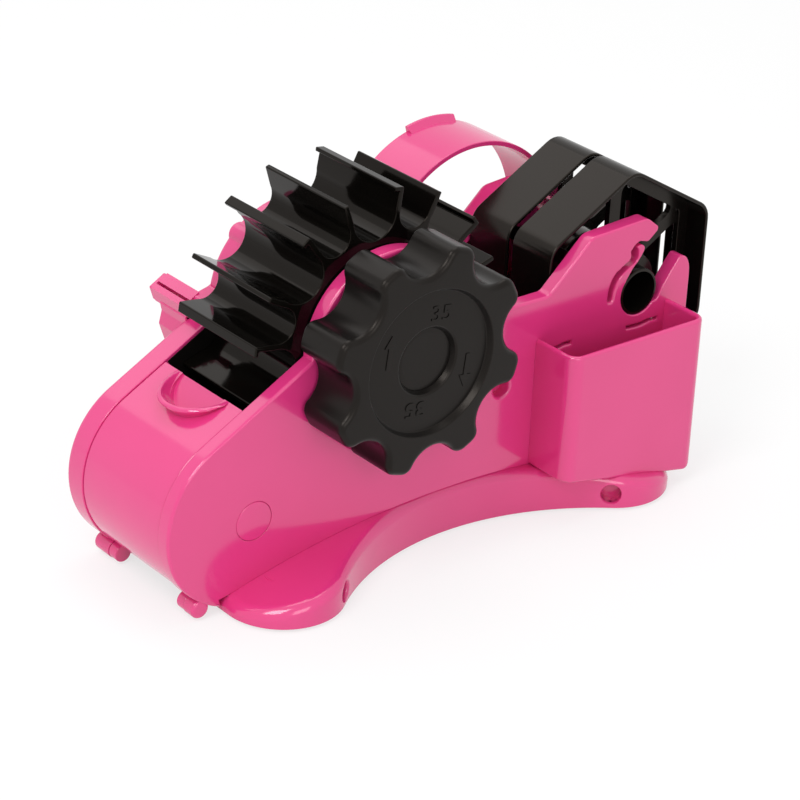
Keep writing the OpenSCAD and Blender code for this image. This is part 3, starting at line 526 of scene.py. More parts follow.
def from_blade(out, up):
    """A place in side view from the blade's edge: away from the wheel, and square to the blade."""
    return blade_out * (TIP_R + BLADE_GAP + out) + blade_up * up


blade_pad = [from_blade(*p) for p in ((3, -6), (14, -6), (14, 1), (3, 1))]


near = bmesh.new()
holes = [hole((0, 0), AXLE_HOLE), hole(CAP, CAP_R + 0.06, 56), hole(RECESS, RECESS_R, 36)]
moulding(near, [shell_edge()] + holes + [slot(*place) for place in SLOTS], NEAR, -INNER, 0.9, 0.3, slim)
room = bmesh.new()
moulding(room, [shell_room()], NEAR + WALL, -INNER + 1, 0.02, 0.02, steps=1)
near = cut(near, room)
boss(near, (0, 0), NEAR + ROOT, -INNER, AXLE_HOLE, HUB_BOSS)
boss(near, CAP, NEAR + ROOT, -INNER - 0.3, 0, CAP_R + 1.5)
for post in POSTS:
    turned(near, post, [
        (NEAR + 1.3, AXIS, 0), (NEAR + 1.3, POST_R + 1.2, 0), (-INNER, POST_R + 1.2, 0.3),
        (-INNER + 1, POST_R, 1), (INNER - 0.05, POST_R, 0.3), (INNER - 0.05, AXIS, 0)])
for screw in BOX_SCREWS:
    boss(near, screw, NEAR + ROOT, -INNER, SCREW_HOLE, POST_R)
moulding(near, [blade_pad], NEAR + ROOT, -INNER, 0.05, 0.3)
for x, z, length in SLOT_PLATES:
    plate = [Vector(p) for p in ((x, z - 3), (x + length, z - 3), (x + length, z + 2.6), (x, z + 2.6))]
    moulding(near, [plate], -INNER - 1.2, -INNER - 0.05, 0.05, 0.2)
peg(near, HINGE, NEAR + 0.3, -INNER, KNUCKLE_R, 1.1, 0.2)
turned(near, RECESS, [
    (-INNER - 0.9, AXIS, 0), (-INNER - 0.9, RECESS_R + 0.01, 0), (NEAR + ROOT, RECESS_R + 0.01, 0),
    (NEAR + ROOT, RECESS_BOSS, 0), (-INNER - 0.1, RECESS_BOSS, 0.3), (-INNER - 0.1, AXIS, 0)], 36)
lugs(near, -1)
finish_piece("near_side_shell", near, PINK, "body", ["near_shell"])


# Far shell: the thicker side plate, moulded in pink ABS with a softer outer edge. A side arm
# with a slot in its top stands out from the ear, above a web, and two screws sit sunk in it.
ARM_Y, ARM_CAP, WEB_Y, BUMP_R, BUMP_TURN, PILOT_R = 44.2, 1.6, 40.0, 3.6, 132, 1.7
ARM = [(-38, 0.9), (-36.5, -3.6), (-32.4, -3.6), (-32.2, 4.3)]
WEB = [(-37.2, -2.5, 0.5), (-36.4, -5.6, 1), (-37.4, -9.6, 1), (-34.8, -17, 1.2), (-31.6, -17, 1),
       (-31.6, -2.5, 0.5)]
LEDGE = [(-34, -6, 0), (-25, -6, 0), (-22, 8, 0), (-28.0, 4.8, 1.5), (-34, 3.3, 0.8)]
GROOVE, GROOVE_HALF, GROOVE_DEPTH = Vector((-35.8, 2.2)), 0.5, 3
RING_AT, RING_R, RING_SCREW_IN, RING_SCREWS = Vector((74.7, -8.4)), 36.4, 6.0, (205, 255, 320)


def far_slim(p):
    """The far edge is well rounded, but not on the slender arms."""
    return 0.25 if p.x > 84 and p.y > -20 else 1


far = bmesh.new()
moulding(far, [shell_edge(), hole((0, 0), AXLE_HOLE)] + [hole(post, SCREW_HOLE, 28) for post in POSTS[1:]],
         INNER, FAR, 0.3, 2.0, far_slim, 6)
room = bmesh.new()
moulding(room, [shell_room()], INNER - 1, FAR - WALL, 0.02, 0.02, steps=1)
far = cut(far, room)
boss(far, (0, 0), FAR - ROOT, INNER, AXLE_HOLE, HUB_BOSS)
boss(far, CAP, FAR - ROOT, INNER, 0, POST_R)
for post in POSTS[1:]:
    boss(far, post, FAR - ROOT, INNER + 3, SCREW_HOLE + 0.01, POST_R)
    boss(far, post, INNER + 3.1, INNER, PILOT_R, POST_R)
for turn in RING_SCREWS:
    boss(far, RING_AT + (RING_R - RING_SCREW_IN) * toward(turn), FAR - ROOT, INNER, SCREW_HOLE, POST_R)
moulding(far, [blade_pad], INNER, FAR - ROOT, 0.3, 0.05)
moulding(far, [rounded(LEDGE, True)], INNER + 0.05, FAR - 0.1, 0.5, 1.0)
peg(far, (EAR_R - 2.2) * toward(BUMP_TURN), INNER + 0.3, FAR - 0.1, BUMP_R, 0.5, 1.2, 32)
half, deep = along * GROOVE_HALF, lift * GROOVE_DEPTH
grooved = [Vector(p) for p in ARM] + [GROOVE + half, GROOVE + half - deep, GROOVE - half - deep, GROOVE - half]
moulding(far, [grooved], FAR - 2, ARM_Y - ARM_CAP, 0.02, 0.02, steps=1)
arm_end = rounded([p + (r,) for p, r in zip(ARM, (0.6, 0.6, 0.4, 0.4))], True)
moulding(far, [arm_end], ARM_Y - ARM_CAP - 0.02, ARM_Y, 0.02, 0.7)
moulding(far, [rounded(WEB, True)], FAR - 2, WEB_Y, 0.4, 0.8)
peg(far, HINGE, INNER, FAR - 1, KNUCKLE_R, 0.2, 1.1)
lugs(far, 1)
finish_piece("far_side_shell", far, PINK, "body", ["far_shell"])


# Nose cap: a round pink ABS plug with a slightly crowned face. It's pressed flush into the
# near shell over the screw that holds the two shells together.
plug = bmesh.new()
turned(plug, CAP, [
    (NEAR - 0.32, AXIS, 0), (NEAR - 0.25, 3.5, 0), (NEAR - 0.1, CAP_R, 0.45), (NEAR + 1, CAP_R, 0.2),
    (NEAR + 1, AXIS, 0)], 64)
finish_piece("nose_plug", plug, PINK, "body", ["nose_cap"])


# Nose cover: a bent pink ABS plate between the shells that tips forward on two pins at the
# table. A half-round scoop with a sunk floor stands up from its upper edge as a pull.
COVER_R, COVER_T, COVER_Y, COVER_EDGE = NOSE_R - 0.4, 2.0, 19.4, -49.1
SCOOP_R, SCOOP_H, SCOOP_T, SCOOP_STEPS, SCOOP_POINTS = 13.4, 4.6, 1.8, 48, 22
FLOOR_R, FLOOR_BROW, FLOOR_RIM, FLOOR_T = 10.4, 0.6, 1.9, 1.2
PIN_R, PIN_PLAY, KNUCKLE_W = 1.3, 0.3, 3.6
reach = (COVER_EDGE - NOSE.x + NOSE_R * along.y) / along.x
brow = NOSE + lift * COVER_R + along * reach
hinge_turn = degrees(atan2(HINGE.y - NOSE.y, HINGE.x - NOSE.x)) % 360


def at_brow(s, y, up):
    """A place measured from the cover's upper edge: along the slope, across, and square to it."""
    spot = brow + along * s + lift * up
    return at(spot.x, y, spot.y)


def solid(bm, rows):
    """Joins rows of points and closes the first and the last one."""
    rows = strip(bm, rows)
    for end in (rows[0], rows[-1]):
        bm.faces.new(end)


def floor_height(s):
    """The scoop's floor lies deeper at the rim than at the brow."""
    return -FLOOR_BROW + (FLOOR_RIM - FLOOR_BROW) * min(s, 0) / FLOOR_R


def scoop_slab(radius, front, top, bottom):
    """A half-round slab at the brow, between two heights that depend on the place along the slope."""
    edge = [Vector((front, -radius))] + arc((0, 0), radius, 270, 90, 32) + [Vector((front, radius))]
    form = bmesh.new()
    solid(form, [[at_brow(p.x, p.y, height(p.x)) for p in edge] for height in (bottom, top)])
    return form


def paced(path, count):
    """The same path with a given number of points, evenly spaced."""
    lengths = [0.0]
    for a, b in zip(path, path[1:]):
        lengths.append(lengths[-1] + (b - a).length)
    result, k = [], 0
    for n in range(count):
        goal = lengths[-1] * n / (count - 1)
        while k < len(path) - 2 and lengths[k + 1] < goal:
            k += 1
        part = (goal - lengths[k]) / max(lengths[k + 1] - lengths[k], 1e-9)
        result.append(path[k].lerp(path[k + 1], min(part, 1)))
    return result


cover = bmesh.new()
skin = ([brow - lift * COVER_T, brow] + arc(NOSE, COVER_R, 90 + SLOPE, hinge_turn, 40)
        + arc(NOSE, COVER_R - COVER_T, hinge_turn, 90 + SLOPE, 40))
moulding(cover, [skin], -COVER_Y, COVER_Y, 0.6, 0.35, steps=3)
cover = cut(cover, scoop_slab(FLOOR_R, 2.0, lambda s: 1.5, lambda s: -5.0))
join(cover, scoop_slab(FLOOR_R + 0.3, -0.05, floor_height, lambda s: floor_height(s) - FLOOR_T))
for side in (-1, 1):
    shut, mouth, wide, bore = side * (COVER_Y - KNUCKLE_W), side * COVER_Y, KNUCKLE_R - 0.2, PIN_R + PIN_PLAY
    turned(cover, HINGE, [
        (shut, AXIS, 0), (shut, wide, 0.3), (mouth, wide, 0.3), (mouth, bore, 0), (shut + side * 0.5, bore, 0),
        (shut + side * 0.5, AXIS, 0)], 36)
rim = []
for k in range(SCOOP_STEPS + 1):
    t = radians(-90 + 180 * k / SCOOP_STEPS)
    high = max(SCOOP_H * cos(t), 0.0)
    soft = 0.6 if high > 0.9 else 0.05
    section = rounded([(SCOOP_R - 1.5, -0.3, 0), (SCOOP_R - 1.3, 0.15 * high, 0), (SCOOP_R, high - 0.1, soft),
                       (SCOOP_R - SCOOP_T, high + 0.02, soft), (SCOOP_R - SCOOP_T - 1.8, -FLOOR_RIM - 0.05, 0)])
    rim.append([at_brow(-q.x * cos(t), q.x * sin(t), q.y) for q in paced(section, SCOOP_POINTS)])
solid(cover, rim)
finish_piece("tilting_nose_cover", cover, PINK, "cover", ["nose_cover"])


# Hinge pins: two short drawn steel pins, fixed in the shells' knuckles at the table. The cover's
# knuckles turn on their inner ends.
PINS, LINE_W, LINE_L = ((-23, -16.6), (16.6, 24)), 0.6, 12


def drawn_metal(name, tint, deep, gloss):
    """Plain steel: fine drawn lines along the width in tone and roughness."""
    material = bpy.data.materials.new(name)
    tree = blank(material)
    place = add(tree, "ShaderNodeTexCoord").outputs["Object"]
    scale = (1000 / LINE_W, 1000 / LINE_L, 1000 / LINE_W)
    stretch = add(tree, "ShaderNodeMapping", {"Scale": scale}, {"Vector": place})
    lines = add(tree, "ShaderNodeTexNoise", {"Scale": 1.0, "Detail": 3.0}, {"Vector": stretch})
    colour = add(tree, "ShaderNodeValToRGB", (), {"Fac": lines})
    low, high = colour.color_ramp.elements
    low.color, high.color = linear(deep), linear(tint)
    sheen = add(tree, "ShaderNodeMapRange", {"To Min": gloss - 0.06, "To Max": gloss + 0.08}, {"Value": lines})
    shader = add(tree, "ShaderNodeBsdfPrincipled", {"Metallic": 1.0}, {"Base Color": colour, "Roughness": sheen})
    add(tree, "ShaderNodeOutputMaterial", (), {"Surface": shader})
    return material


# Drawn and zinc-plated steel: bright grey with fine lines along the draw.
STEEL = drawn_metal("zinc_plated_steel", "#C9CACC", "#A9ABAE", 0.3)
pins = bmesh.new()
for y_lo, y_hi in PINS:
    peg(pins, HINGE, y_lo, y_hi, PIN_R, 0.3, 0.3, 24)
finish_piece("short_hinge_pins", pins, STEEL, "body", ["hinge_pins"])


# Screws and axle: zinc-plated steel screws, and the drawn steel rod that the wheel and the knob
# turn with. Their CAD forms show as they are and take the steel's looks.
for node in ("shell_screws", "base_screws", "blade_screws", "wheel_axle", "knob_screw", "box_screws",
             "ring_screws"):
    part = frame["nodes"][node]
    part.data.materials.clear()
    part.data.materials.append(STEEL)


# Cutter: a toothed steel blade that is screwed on a black bar inside the nose. Its edge stays
# just clear of the vanes.
BLADE_T, BLADE_D, BLADE_HALF, TOOTH, TEETH, TOOTH_ROOT = 0.8, 11.0, 18.5, 2.0, 18, 2.2
TOOTH_EDGE = ((1.4, 0), (0.15, 0.9), (0, 1), (0.15, 1.1), (1.4, 2), (TOOTH_ROOT, 2), (TOOTH_ROOT, 0))


def at_blade(out, y, up):
    """A place from the blade's edge in the shared frame: away from the wheel, across, and square to the blade."""
    spot = from_blade(out, up)
    return at(spot.x, y, spot.y)


def tooth_row():
    """One tooth after the other along the blade's edge."""
    tree, given = repeat_tree("tooth_row", {"Teeth": "Int", "Pitch": "Float"})
    step = add(tree, "ShaderNodeCombineXYZ", (), {"Y": given["Pitch"]})
    line = add(tree, "GeometryNodeMeshLine", (), {"Count": given["Teeth"], "Offset": step})
    return copy_at(tree, given, line)


tooth = bmesh.new()
solid(tooth, [[at_blade(out, y - TEETH * TOOTH / 2, up) for out, y in TOOTH_EDGE] for up in (0.25, BLADE_T)])
blade = bmesh.new()
repeat(blade, tooth, tooth_row(), {"Teeth": TEETH, "Pitch": TOOTH / 1000, "Finish": STEEL})
plate = ((TOOTH_ROOT, -BLADE_HALF), (TOOTH_ROOT, BLADE_HALF), (BLADE_D, BLADE_HALF), (BLADE_D, -BLADE_HALF))
solid(blade, [[at_blade(out, y, up) for out, y in plate] for up in (0.02, BLADE_T)])
finish_piece("toothed_blade", blade, STEEL, "body", ["cutting_blade"])


# Vane wheel: sixteen vanes in eight pairs around a drum, moulded in gloss black. The first
# vane of each pair ends in a hooked lip, and tape lies across the pairs.
WHEEL_W, VANE_T, PAIRS, PAIR_SPREAD, WHEEL_TURN = 38.0, 1.6, 8, 19.2, 27.3
WIDE_ROOT, NARROW_ROOT, LIP_W, LIP_T, DRUM_R, HUB_R, AXLE_BORE = 30.1, 32.5, 3.2, 1.3, 27.0, 8.5, 4.02
SECTOR = 360 / PAIRS


def ring_of_copies():
    """Copies of a form, turned step by step about a line across the width."""
    tree, given = repeat_tree("ring_of_copies", {"Copies": "Int", "Step": "Float", "Start": "Float"})
    line = add(tree, "GeometryNodeMeshLine", {"Offset": (0, 0, 0)}, {"Count": given["Copies"]})
    index = add(tree, "GeometryNodeInputIndex")
    turn = add(tree, "ShaderNodeMath", {"operation": "MULTIPLY_ADD"},
               {0: index, 1: given["Step"], 2: given["Start"]})
    spin = add(tree, "ShaderNodeMath", {"operation": "MULTIPLY", 1: -1.0}, {0: turn})
    euler = add(tree, "ShaderNodeCombineXYZ", (), {"Y": spin})
    rotation = add(tree, "FunctionNodeEulerToRotation", (), {"Euler": euler})
    return copy_at(tree, given, line, {"Rotation": rotation})


RING = ring_of_copies()


def repeat_round(bm, form, count, start, centre, finish):
    """Adds copies of a form all round a line across the width, from a start angle in degrees."""
    repeat(bm, form, RING, {"Copies": count, "Step": radians(360 / count), "Start": radians(start),
                            "Centre": centre, "Finish": finish})


def sector(bm, path, inner, y_lo, y_hi, r_lo, r_hi, steps=3):
    """One sector of a round form about the origin: its rolled outer path, and end faces in to the inner path."""
    rows = rolled(path, y_lo, y_hi, r_lo, r_hi, steps=steps, closed=False)
    rows = strip(bm, [[Vector((p.x, y, p.y)) / 1000 for p, y in row] for row in rows], closed=False)
    for edge, y in ((rows[0], y_lo), (rows[-1], y_hi)):
        inside = [bm.verts.new(Vector((p.x, y, p.y)) / 1000) for p in inner]
        face_over(bm, [edge + inside[::-1]])


def swung(turn, points):
    """Points turned about the origin by an angle in degrees."""
    return [Matrix.Rotation(radians(turn), 2) @ p for p in points]


def trough(turn, span, root, start, end, steps):
    """Part of a round trough between two vanes, which it meets without a crease."""
    lean = sin(radians(span / 2))
    r = (root * lean - VANE_T / 2) / (1 - lean)
    return swung(turn, arc((root + r, 0), r, start, end, steps))


def vane_sector():
    """Outline of one pair, from the middle of one wide trough to the next, about the pair's middle."""
    half, gap, t = PAIR_SPREAD / 2, SECTOR - PAIR_SPREAD, VANE_T / 2
    plain = rounded([(36, -t, 0), (TIP_R, -t, 0.45), (TIP_R, t, 0.45), (38, t, 0)])
    hooked = rounded([(38, -t, 0), (TIP_R, -t, 0.5), (TIP_R, LIP_W - t, 0.35), (TIP_R - LIP_T, LIP_W - t, 0.35),
                      (TIP_R - LIP_T, t, 0.4), (36, t, 0)])
    path = trough(-half - gap / 2, gap, WIDE_ROOT, 180, 90, 10)
    path += swung(-half, plain[1:-1])
    path += trough(0, PAIR_SPREAD, NARROW_ROOT, 270, 90, 18)
    path += swung(half, hooked[1:-1])
    return path + trough(half + gap / 2, gap, WIDE_ROOT, 270, 180, 10)


# Gloss black ABS from a polished mould: nearly black, with clear reflections of the lamps.
GLOSS_BLACK = moulded("gloss_black_abs", "#0A0907", "#080605", 0.1, 0.6, 0.01, 0.17, "#F6E6D8")
pair = bmesh.new()
edge = WHEEL_W / 2
sector(pair, vane_sector(), arc((0, 0), DRUM_R, -SECTOR / 2, SECTOR / 2, 9), -edge, edge, 0.35, 0.35)
wheel = bmesh.new()
repeat_round(wheel, pair, PAIRS, WHEEL_TURN, at(0, 0, 0), GLOSS_BLACK)
turned(wheel, (0, 0), [
    (-edge, DRUM_R, 0), (-edge, AXLE_BORE, 0), (edge, AXLE_BORE, 0), (edge, HUB_R, 0.4),
    (-edge + 3, HUB_R, 0.8), (-edge + 3, DRUM_R, 0.8), (edge, DRUM_R, 0)], 72, WHEEL_TURN - SECTOR / 2)
finish_piece("black_vane_wheel", wheel, GLOSS_BLACK, "wheel", ["vane_wheel"])


# Axle cap: a small domed button of satin black ABS, pressed on the axle's far end outside the
# far shell. It turns with the wheel.
BUTTON_R, BUTTON_LO, BUTTON_HI = 7.0, FAR + 0.3, FAR + 4.4
# Satin black ABS: a dark warm grey with a fine grain that breaks up reflections.
SATIN_BLACK = moulded("satin_black_abs", "#110F0E", "#0F0D0C", 0.3, 0.35, 0.1, 0.2, "#FAEEE4")
button = bmesh.new()
turned(button, (0, 0), [
    (BUTTON_LO, AXLE_BORE, 0), (BUTTON_LO, BUTTON_R, 0.4), (BUTTON_HI - 1, BUTTON_R, 1.6), (BUTTON_HI, 3.4, 3),
    (BUTTON_HI, AXIS, 0)])
finish_piece("axle_button", button, SATIN_BLACK, "wheel", ["axle_cap"])


# Knob: a hollow grip with eight lobes, moulded in satin black and screwed on the axle. Its
# face has a sunk dial with raised figures for the strip's length and two turning arrows.
KNOB_R, FLUTE_R, FLUTE_DEPTH, LOBE_ROUND, KNOB_FACE, KNOB_BACK = 35.0, 9.0, 7.5, 3.6, -43.4, -25.4
LOBES, DIAL_R, DIAL_DEPTH, DISH_R, DISH_DEPTH = 8, 22.3, 1.9, 9.7, 3.7
HOLLOW_END, KNOB_HUB_R, KNOB_HUB_END, SCREW_BORE = -37.6, 10.5, -25.0, 4.1
FIGURE_TILT, FIGURE_H, FIGURE_RISE, FIGURE_WIDE, CAP_HEIGHT = -7.0, 4.7, 0.25, 1.2, 0.7
FIGURE_DEPTH, FIGURE_AT, ARROW_AT = 0.0006, (0.0024, 0, 0.0144), Vector((-14.3, 6.4))
ARROW = ((-0.7, -5.2), (0.7, -5.2), (0.7, 1.4), (2.2, 1.4), (0, 5.2), (-2.2, 1.4), (-0.7, 1.4))
lobe_turn = 360 / LOBES


def knob_sector():
    """Outline of one lobe, from the bottom of one flute to the next, about the first flute."""
    far_out = KNOB_R + FLUTE_R - FLUTE_DEPTH
    mid, away = KNOB_R - LOBE_ROUND, FLUTE_R + LOBE_ROUND
    turn = acos((mid ** 2 + far_out ** 2 - away ** 2) / (2 * mid * far_out))
    centre = Vector((mid * cos(turn), mid * sin(turn)))
    flute = degrees(atan2(centre.y, centre.x - far_out))
    half = arc((far_out, 0), FLUTE_R, 180, flute, 14)
    half += arc(centre, LOBE_ROUND, flute - 180, degrees(turn), 12)[1:]
    half += arc((0, 0), KNOB_R, degrees(turn), lobe_turn / 2, 3)[1:]
    return half + swung(lobe_turn, [Vector((p.x, -p.y)) for p in half[-2::-1]])


lobe = bmesh.new()
edge, dial, dish = DIAL_R + 1.0, KNOB_FACE + DIAL_DEPTH, KNOB_FACE + DISH_DEPTH
start = WHEEL_TURN + lobe_turn / 2
sector(lobe, knob_sector(), arc((0, 0), edge, 0, lobe_turn, 9), KNOB_FACE, KNOB_BACK, 1.8, 0.8, 6)
knob = bmesh.new()
repeat_round(knob, lobe, LOBES, start, at(0, 0, 0), SATIN_BLACK)
turned(knob, (0, 0), [
    (KNOB_FACE, edge, 0), (KNOB_FACE, DIAL_R + 0.55, 0.5), (dial, DIAL_R - 0.4, 0.35),
    (dial, DISH_R + 0.9, 0.9), (dish, DISH_R, 0.3), (dish + 1.3, DISH_R, 0),
    (dish + 1.3, SCREW_BORE, 0)], 72, start)
turned(knob, (0, 0), [
    (KNOB_BACK, edge, 0), (KNOB_BACK, DIAL_R + 0.9, 0.3), (HOLLOW_END, DIAL_R + 0.4, 2),
    (HOLLOW_END, KNOB_HUB_R, 1.5), (KNOB_HUB_END, KNOB_HUB_R, 0.4), (KNOB_HUB_END, SCREW_BORE, 0)], 72, start)
for turn in (0, 180):
    font = bpy.data.curves.new("figure", "FONT")
    font.body, font.size, font.extrude = "35", FIGURE_H / CAP_HEIGHT / 1000, FIGURE_DEPTH
    font.align_x = font.align_y = "CENTER"
    mesh = settled(put("figure", font))
    place = (Matrix.Rotation(radians(-turn - FIGURE_TILT), 4, "Y") @ Matrix.Translation(FIGURE_AT)
             @ Matrix.Rotation(radians(90), 4, "X") @ Matrix.Diagonal((FIGURE_WIDE, 1, 1, 1)))
    mesh.transform(Matrix.Translation(at(0, dial + 0.6 - FIGURE_RISE, 0)) @ place)
    knob.from_mesh(mesh)
    arrow = swung(turn, [p + ARROW_AT for p in swung(FIGURE_TILT, [Vector(p) for p in ARROW])])
    moulding(knob, [arrow], dial - FIGURE_RISE, dial + 0.4, 0.08, 0.02, steps=2)
finish_piece("fluted_knob", knob, SATIN_BLACK, "wheel", ["knob"])


# Knob cap: a round disc of satin black ABS, slightly crowned. It's pressed in the knob's dish
# over the screw.
disc = bmesh.new()
turned(disc, (0, 0), [
    (dish + 0.1, AXIS, 0), (dish, DISH_R - 1.5, 2), (dish + 0.1, DISH_R - 0.02, 0.1),
    (dish + 1.1, DISH_R - 0.02, 0), (dish + 1.1, AXIS, 0)], 72)
finish_piece("knob_disc", disc, SATIN_BLACK, "wheel", ["knob_cap"])


# Roll shaft: a black tube that snaps into the seats of both cheeks. Its collar keeps the
# two spools apart.
SHAFT_R, SHAFT_BORE, SHAFT_LO, SHAFT_HI, COLLAR_R, COLLAR_HALF = 7.6, 6.7, NEAR + 0.3, FAR - 1, 10.5, 0.7
# Spool ABS: a plain black with hardly any grain and a weak, slightly warm shine.
SPOOL_BLACK = moulded("spool_black_abs", "#0D0B09", "#0A0807", 0.2, 0.45, 0.03, 0.28, "#F6E6D8")
tube = bmesh.new()
turned(tube, ROLL, [
    (SHAFT_LO, SHAFT_BORE, 0), (SHAFT_LO, SHAFT_R, 0.5), (-COLLAR_HALF, SHAFT_R, 0),
    (-COLLAR_HALF, COLLAR_R, 0.25), (COLLAR_HALF, COLLAR_R, 0.25), (COLLAR_HALF, SHAFT_R, 0),
    (SHAFT_HI, SHAFT_R, 0.5), (SHAFT_HI, SHAFT_BORE, 0.5), (SHAFT_LO, SHAFT_BORE, 0)], 64)
finish_piece("roll_tube", tube, SPOOL_BLACK, "reel", ["roll_shaft"])


# Spools: two thin hexagonal bands, each with a hub and a web inside whose six spokes run
# to the corners, moulded in black ABS. A roll's core grips the rounded corners, and each spool
# spins on the shaft.
SPOOL_R, SPOOL_ROUND, SPOOL_WALL, SPOOL_W, SPOOL_GAP = 38.7, 7.0, 1.2, 17.7, 2.4
SPOOL_WEB, SPOOL_HUB, SPOOL_RIM, SPOKE_HALF, SPOOL_PLAY, COS_30 = 2.2, 11.0, 4.0, 2.2, 0.06, 0.866
FLANK = ((12, 2), (13.2, 1.2), (14.4, 0.4), (16, 0), (27.2, 0), (28.6, 0.2), (29.6, 0.7), (30.2, 1.4),
         (30.6, 2.2), (31.6, 2.2))


def hexagon(inset):
    """A hexagon with a corner on top and rounded corners, about the roll's line."""
    out, r = SPOOL_R - inset / COS_30, max(SPOOL_ROUND - inset, 0.8)
    turns = [radians(90 + 60 * k) for k in range(6)]
    return rounded([(ROLL.x + out * cos(t), ROLL.y + out * sin(t), r) for t in turns], True)


def spool(name, y_lo, shift, lipped, body, node):
    """One spool: band, hub, the web's rim and flange, and six spokes that flare into them."""
    y_hi, bore = y_lo + SPOOL_W, SHAFT_R + SPOOL_PLAY
    low, high = ((y_lo + y_hi) / 2 + shift + half * SPOOL_WEB for half in (-0.5, 0.5))
    bm = bmesh.new()
    bands = [(0, SPOOL_WALL, y_lo, y_hi, 0.45), (SPOOL_WALL - 0.5, SPOOL_WALL + SPOOL_RIM, low, high, 0.3)]
    if lipped:
        bands.append((SPOOL_WALL - 0.5, SPOOL_WALL + 2.4, y_hi - 1.6, y_hi - 0.1, 0.3))
    for outer, inner, lo, hi, soft in bands:
        moulding(bm, [hexagon(outer), hexagon(inner)[::-1]], lo, hi, soft, soft)
    turned(bm, ROLL, [
        (y_lo, bore, 0), (y_lo, SPOOL_HUB, 0.5), (y_hi, SPOOL_HUB, 0.5), (y_hi, bore, 0.3), (y_lo, bore, 0)], 64)
    turned(bm, ROLL, [
        (low, SPOOL_HUB - 1, 0), (low, SPOOL_HUB + 3, 0.3), (high, SPOOL_HUB + 3, 0.3),
        (high, SPOOL_HUB - 1, 0)], 64)
    flank = [(out, SPOKE_HALF + wider) for out, wider in FLANK]
    edge = flank + [(out, -across) for out, across in reversed(flank)]
    spoke = bmesh.new()
    solid(spoke, [[Vector((x, y, z)) / 1000 for x, z in edge] for y in (low + 0.05, high - 0.05)])
    repeat_round(bm, spoke, 6, 30, at(ROLL.x, 0, ROLL.y), SPOOL_BLACK)
    finish_piece(name, bm, SPOOL_BLACK, body, [node])


spool("near_hex_spool", -SPOOL_GAP / 2 - SPOOL_W, 0.4, False, "near_reel", "near_spool")
spool("far_hex_spool", SPOOL_GAP / 2, 2.6, True, "far_reel", "far_spool")


# Pen box: an open box without a back, moulded in pink ABS. It stands on the base's arch
# and is screwed against the near shell from inside.
BOX_D, BOX_RIM, BOX_WALL, BOX_ROUND, BOX_BACK, BOX_CURL = 17.5, -14.8, 2.0, 4.5, NEAR - 0.05, 5
BOX_BOSS_R, BOX_BOSS_D = 3.6, 5


def box_plan(inset):
    """The box's wall seen from above, from its near end at the back round to its far end."""
    r = BOX_ROUND - inset
    x0, x1, y1 = BOX_X + inset, BOX_X + BOX_L - inset, BOX_BACK - BOX_D + inset
    return ([Vector((x0, BOX_BACK))] + arc((x0 + r, y1 + r), r, 180, 270, 10)
            + arc((x1 - r, y1 + r), r, 270, 360, 10) + [Vector((x1, BOX_BACK))])


def box_foot(x):
    """Height of the box's lower edge, which follows the arch and curls up at its rear corner."""
    curl = max(0.0, x - (BOX_X + BOX_L - BOX_CURL))
    return arch(x) + 0.05 + (BOX_CURL - sqrt(max(BOX_CURL ** 2 - curl ** 2, 0.2)) if curl else 0)


def box_row(inset, up):
    """One row of the box's wall near its lower edge."""
    return [at(p.x, p.y, box_foot(q.x) + up) for p, q in zip(box_plan(inset), box_plan(0))]


box = bmesh.new()
rows = [box_row(*place) for place in ((3, 0), (1.2, 0), (0.5, 0.2), (0.15, 0.6), (0, 1.2))]
half = BOX_WALL / 2
for t in (radians(30 * k) for k in range(7)):
    rows.append([at(p.x, p.y, BOX_RIM - 1 + sin(t)) for p in box_plan(half - half * cos(t))])
rows += [box_row(*place) for place in ((BOX_WALL, 2.6), (BOX_WALL + 0.3, 2.1), (BOX_WALL + 1, 2.0), (3.6, 2.0))]
rows = strip(box, rows, closed=False)
for edge in (rows[0], rows[-1]):
    ladder(box, edge)
for end in (0, -1):
    box.faces.new([row[end] for row in rows])
for screw in BOX_SCREWS:
    peg(box, screw, BOX_BACK - BOX_BOSS_D, BOX_BACK, BOX_BOSS_R, 0.5, 0, 28)
finish_piece("pen_holder", box, PINK, "body", ["pen_box"])


# Spare roll ring: a thin pink ABS hoop on the far shell with a flange that is screwed on.
# Three catches at its outer edge hold the core of one more roll.
RING_LO, RING_HI, RING_IN = FAR + 0.05, FAR + 0.05 + 22.8, RING_R - 1.5
FLANGE_OUT, FLANGE_IN, CATCH_HALF = RING_R - 0.4, RING_R - 11, 14.5
hoop = bmesh.new()
turned(hoop, RING_AT, [
    (RING_LO, RING_IN, 0), (RING_LO, RING_R, 0.3), (RING_HI, RING_R, 0.5), (RING_HI, RING_IN, 0.5),
    (RING_LO, RING_IN, 0)], 120)
flange = arc(RING_AT, FLANGE_OUT, 173.5, 366.5, 60) + arc(RING_AT, FLANGE_IN, 370.4, 169.6, 50)
moulding(hoop, [flange], RING_LO, RING_LO + WALL, 0.05, 0.4)
section = rounded([(RING_R - 0.6, 0, 0), (RING_R + 2, 0, 0.5), (RING_R + 2, -1, 0.6), (RING_R - 0.6, -3.6, 0)])
catch = bmesh.new()
solid(catch, [[Vector((p.x * q.x, q.y, p.y * q.x)) / 1000 for q in section]
              for p in arc((0, 0), 1, -CATCH_HALF, CATCH_HALF, 16)])
repeat_round(hoop, catch, 3, 91, at(RING_AT.x, RING_HI, RING_AT.y), PINK)
finish_piece("spare_roll_hoop", hoop, PINK, "body", ["spare_roll_ring"])


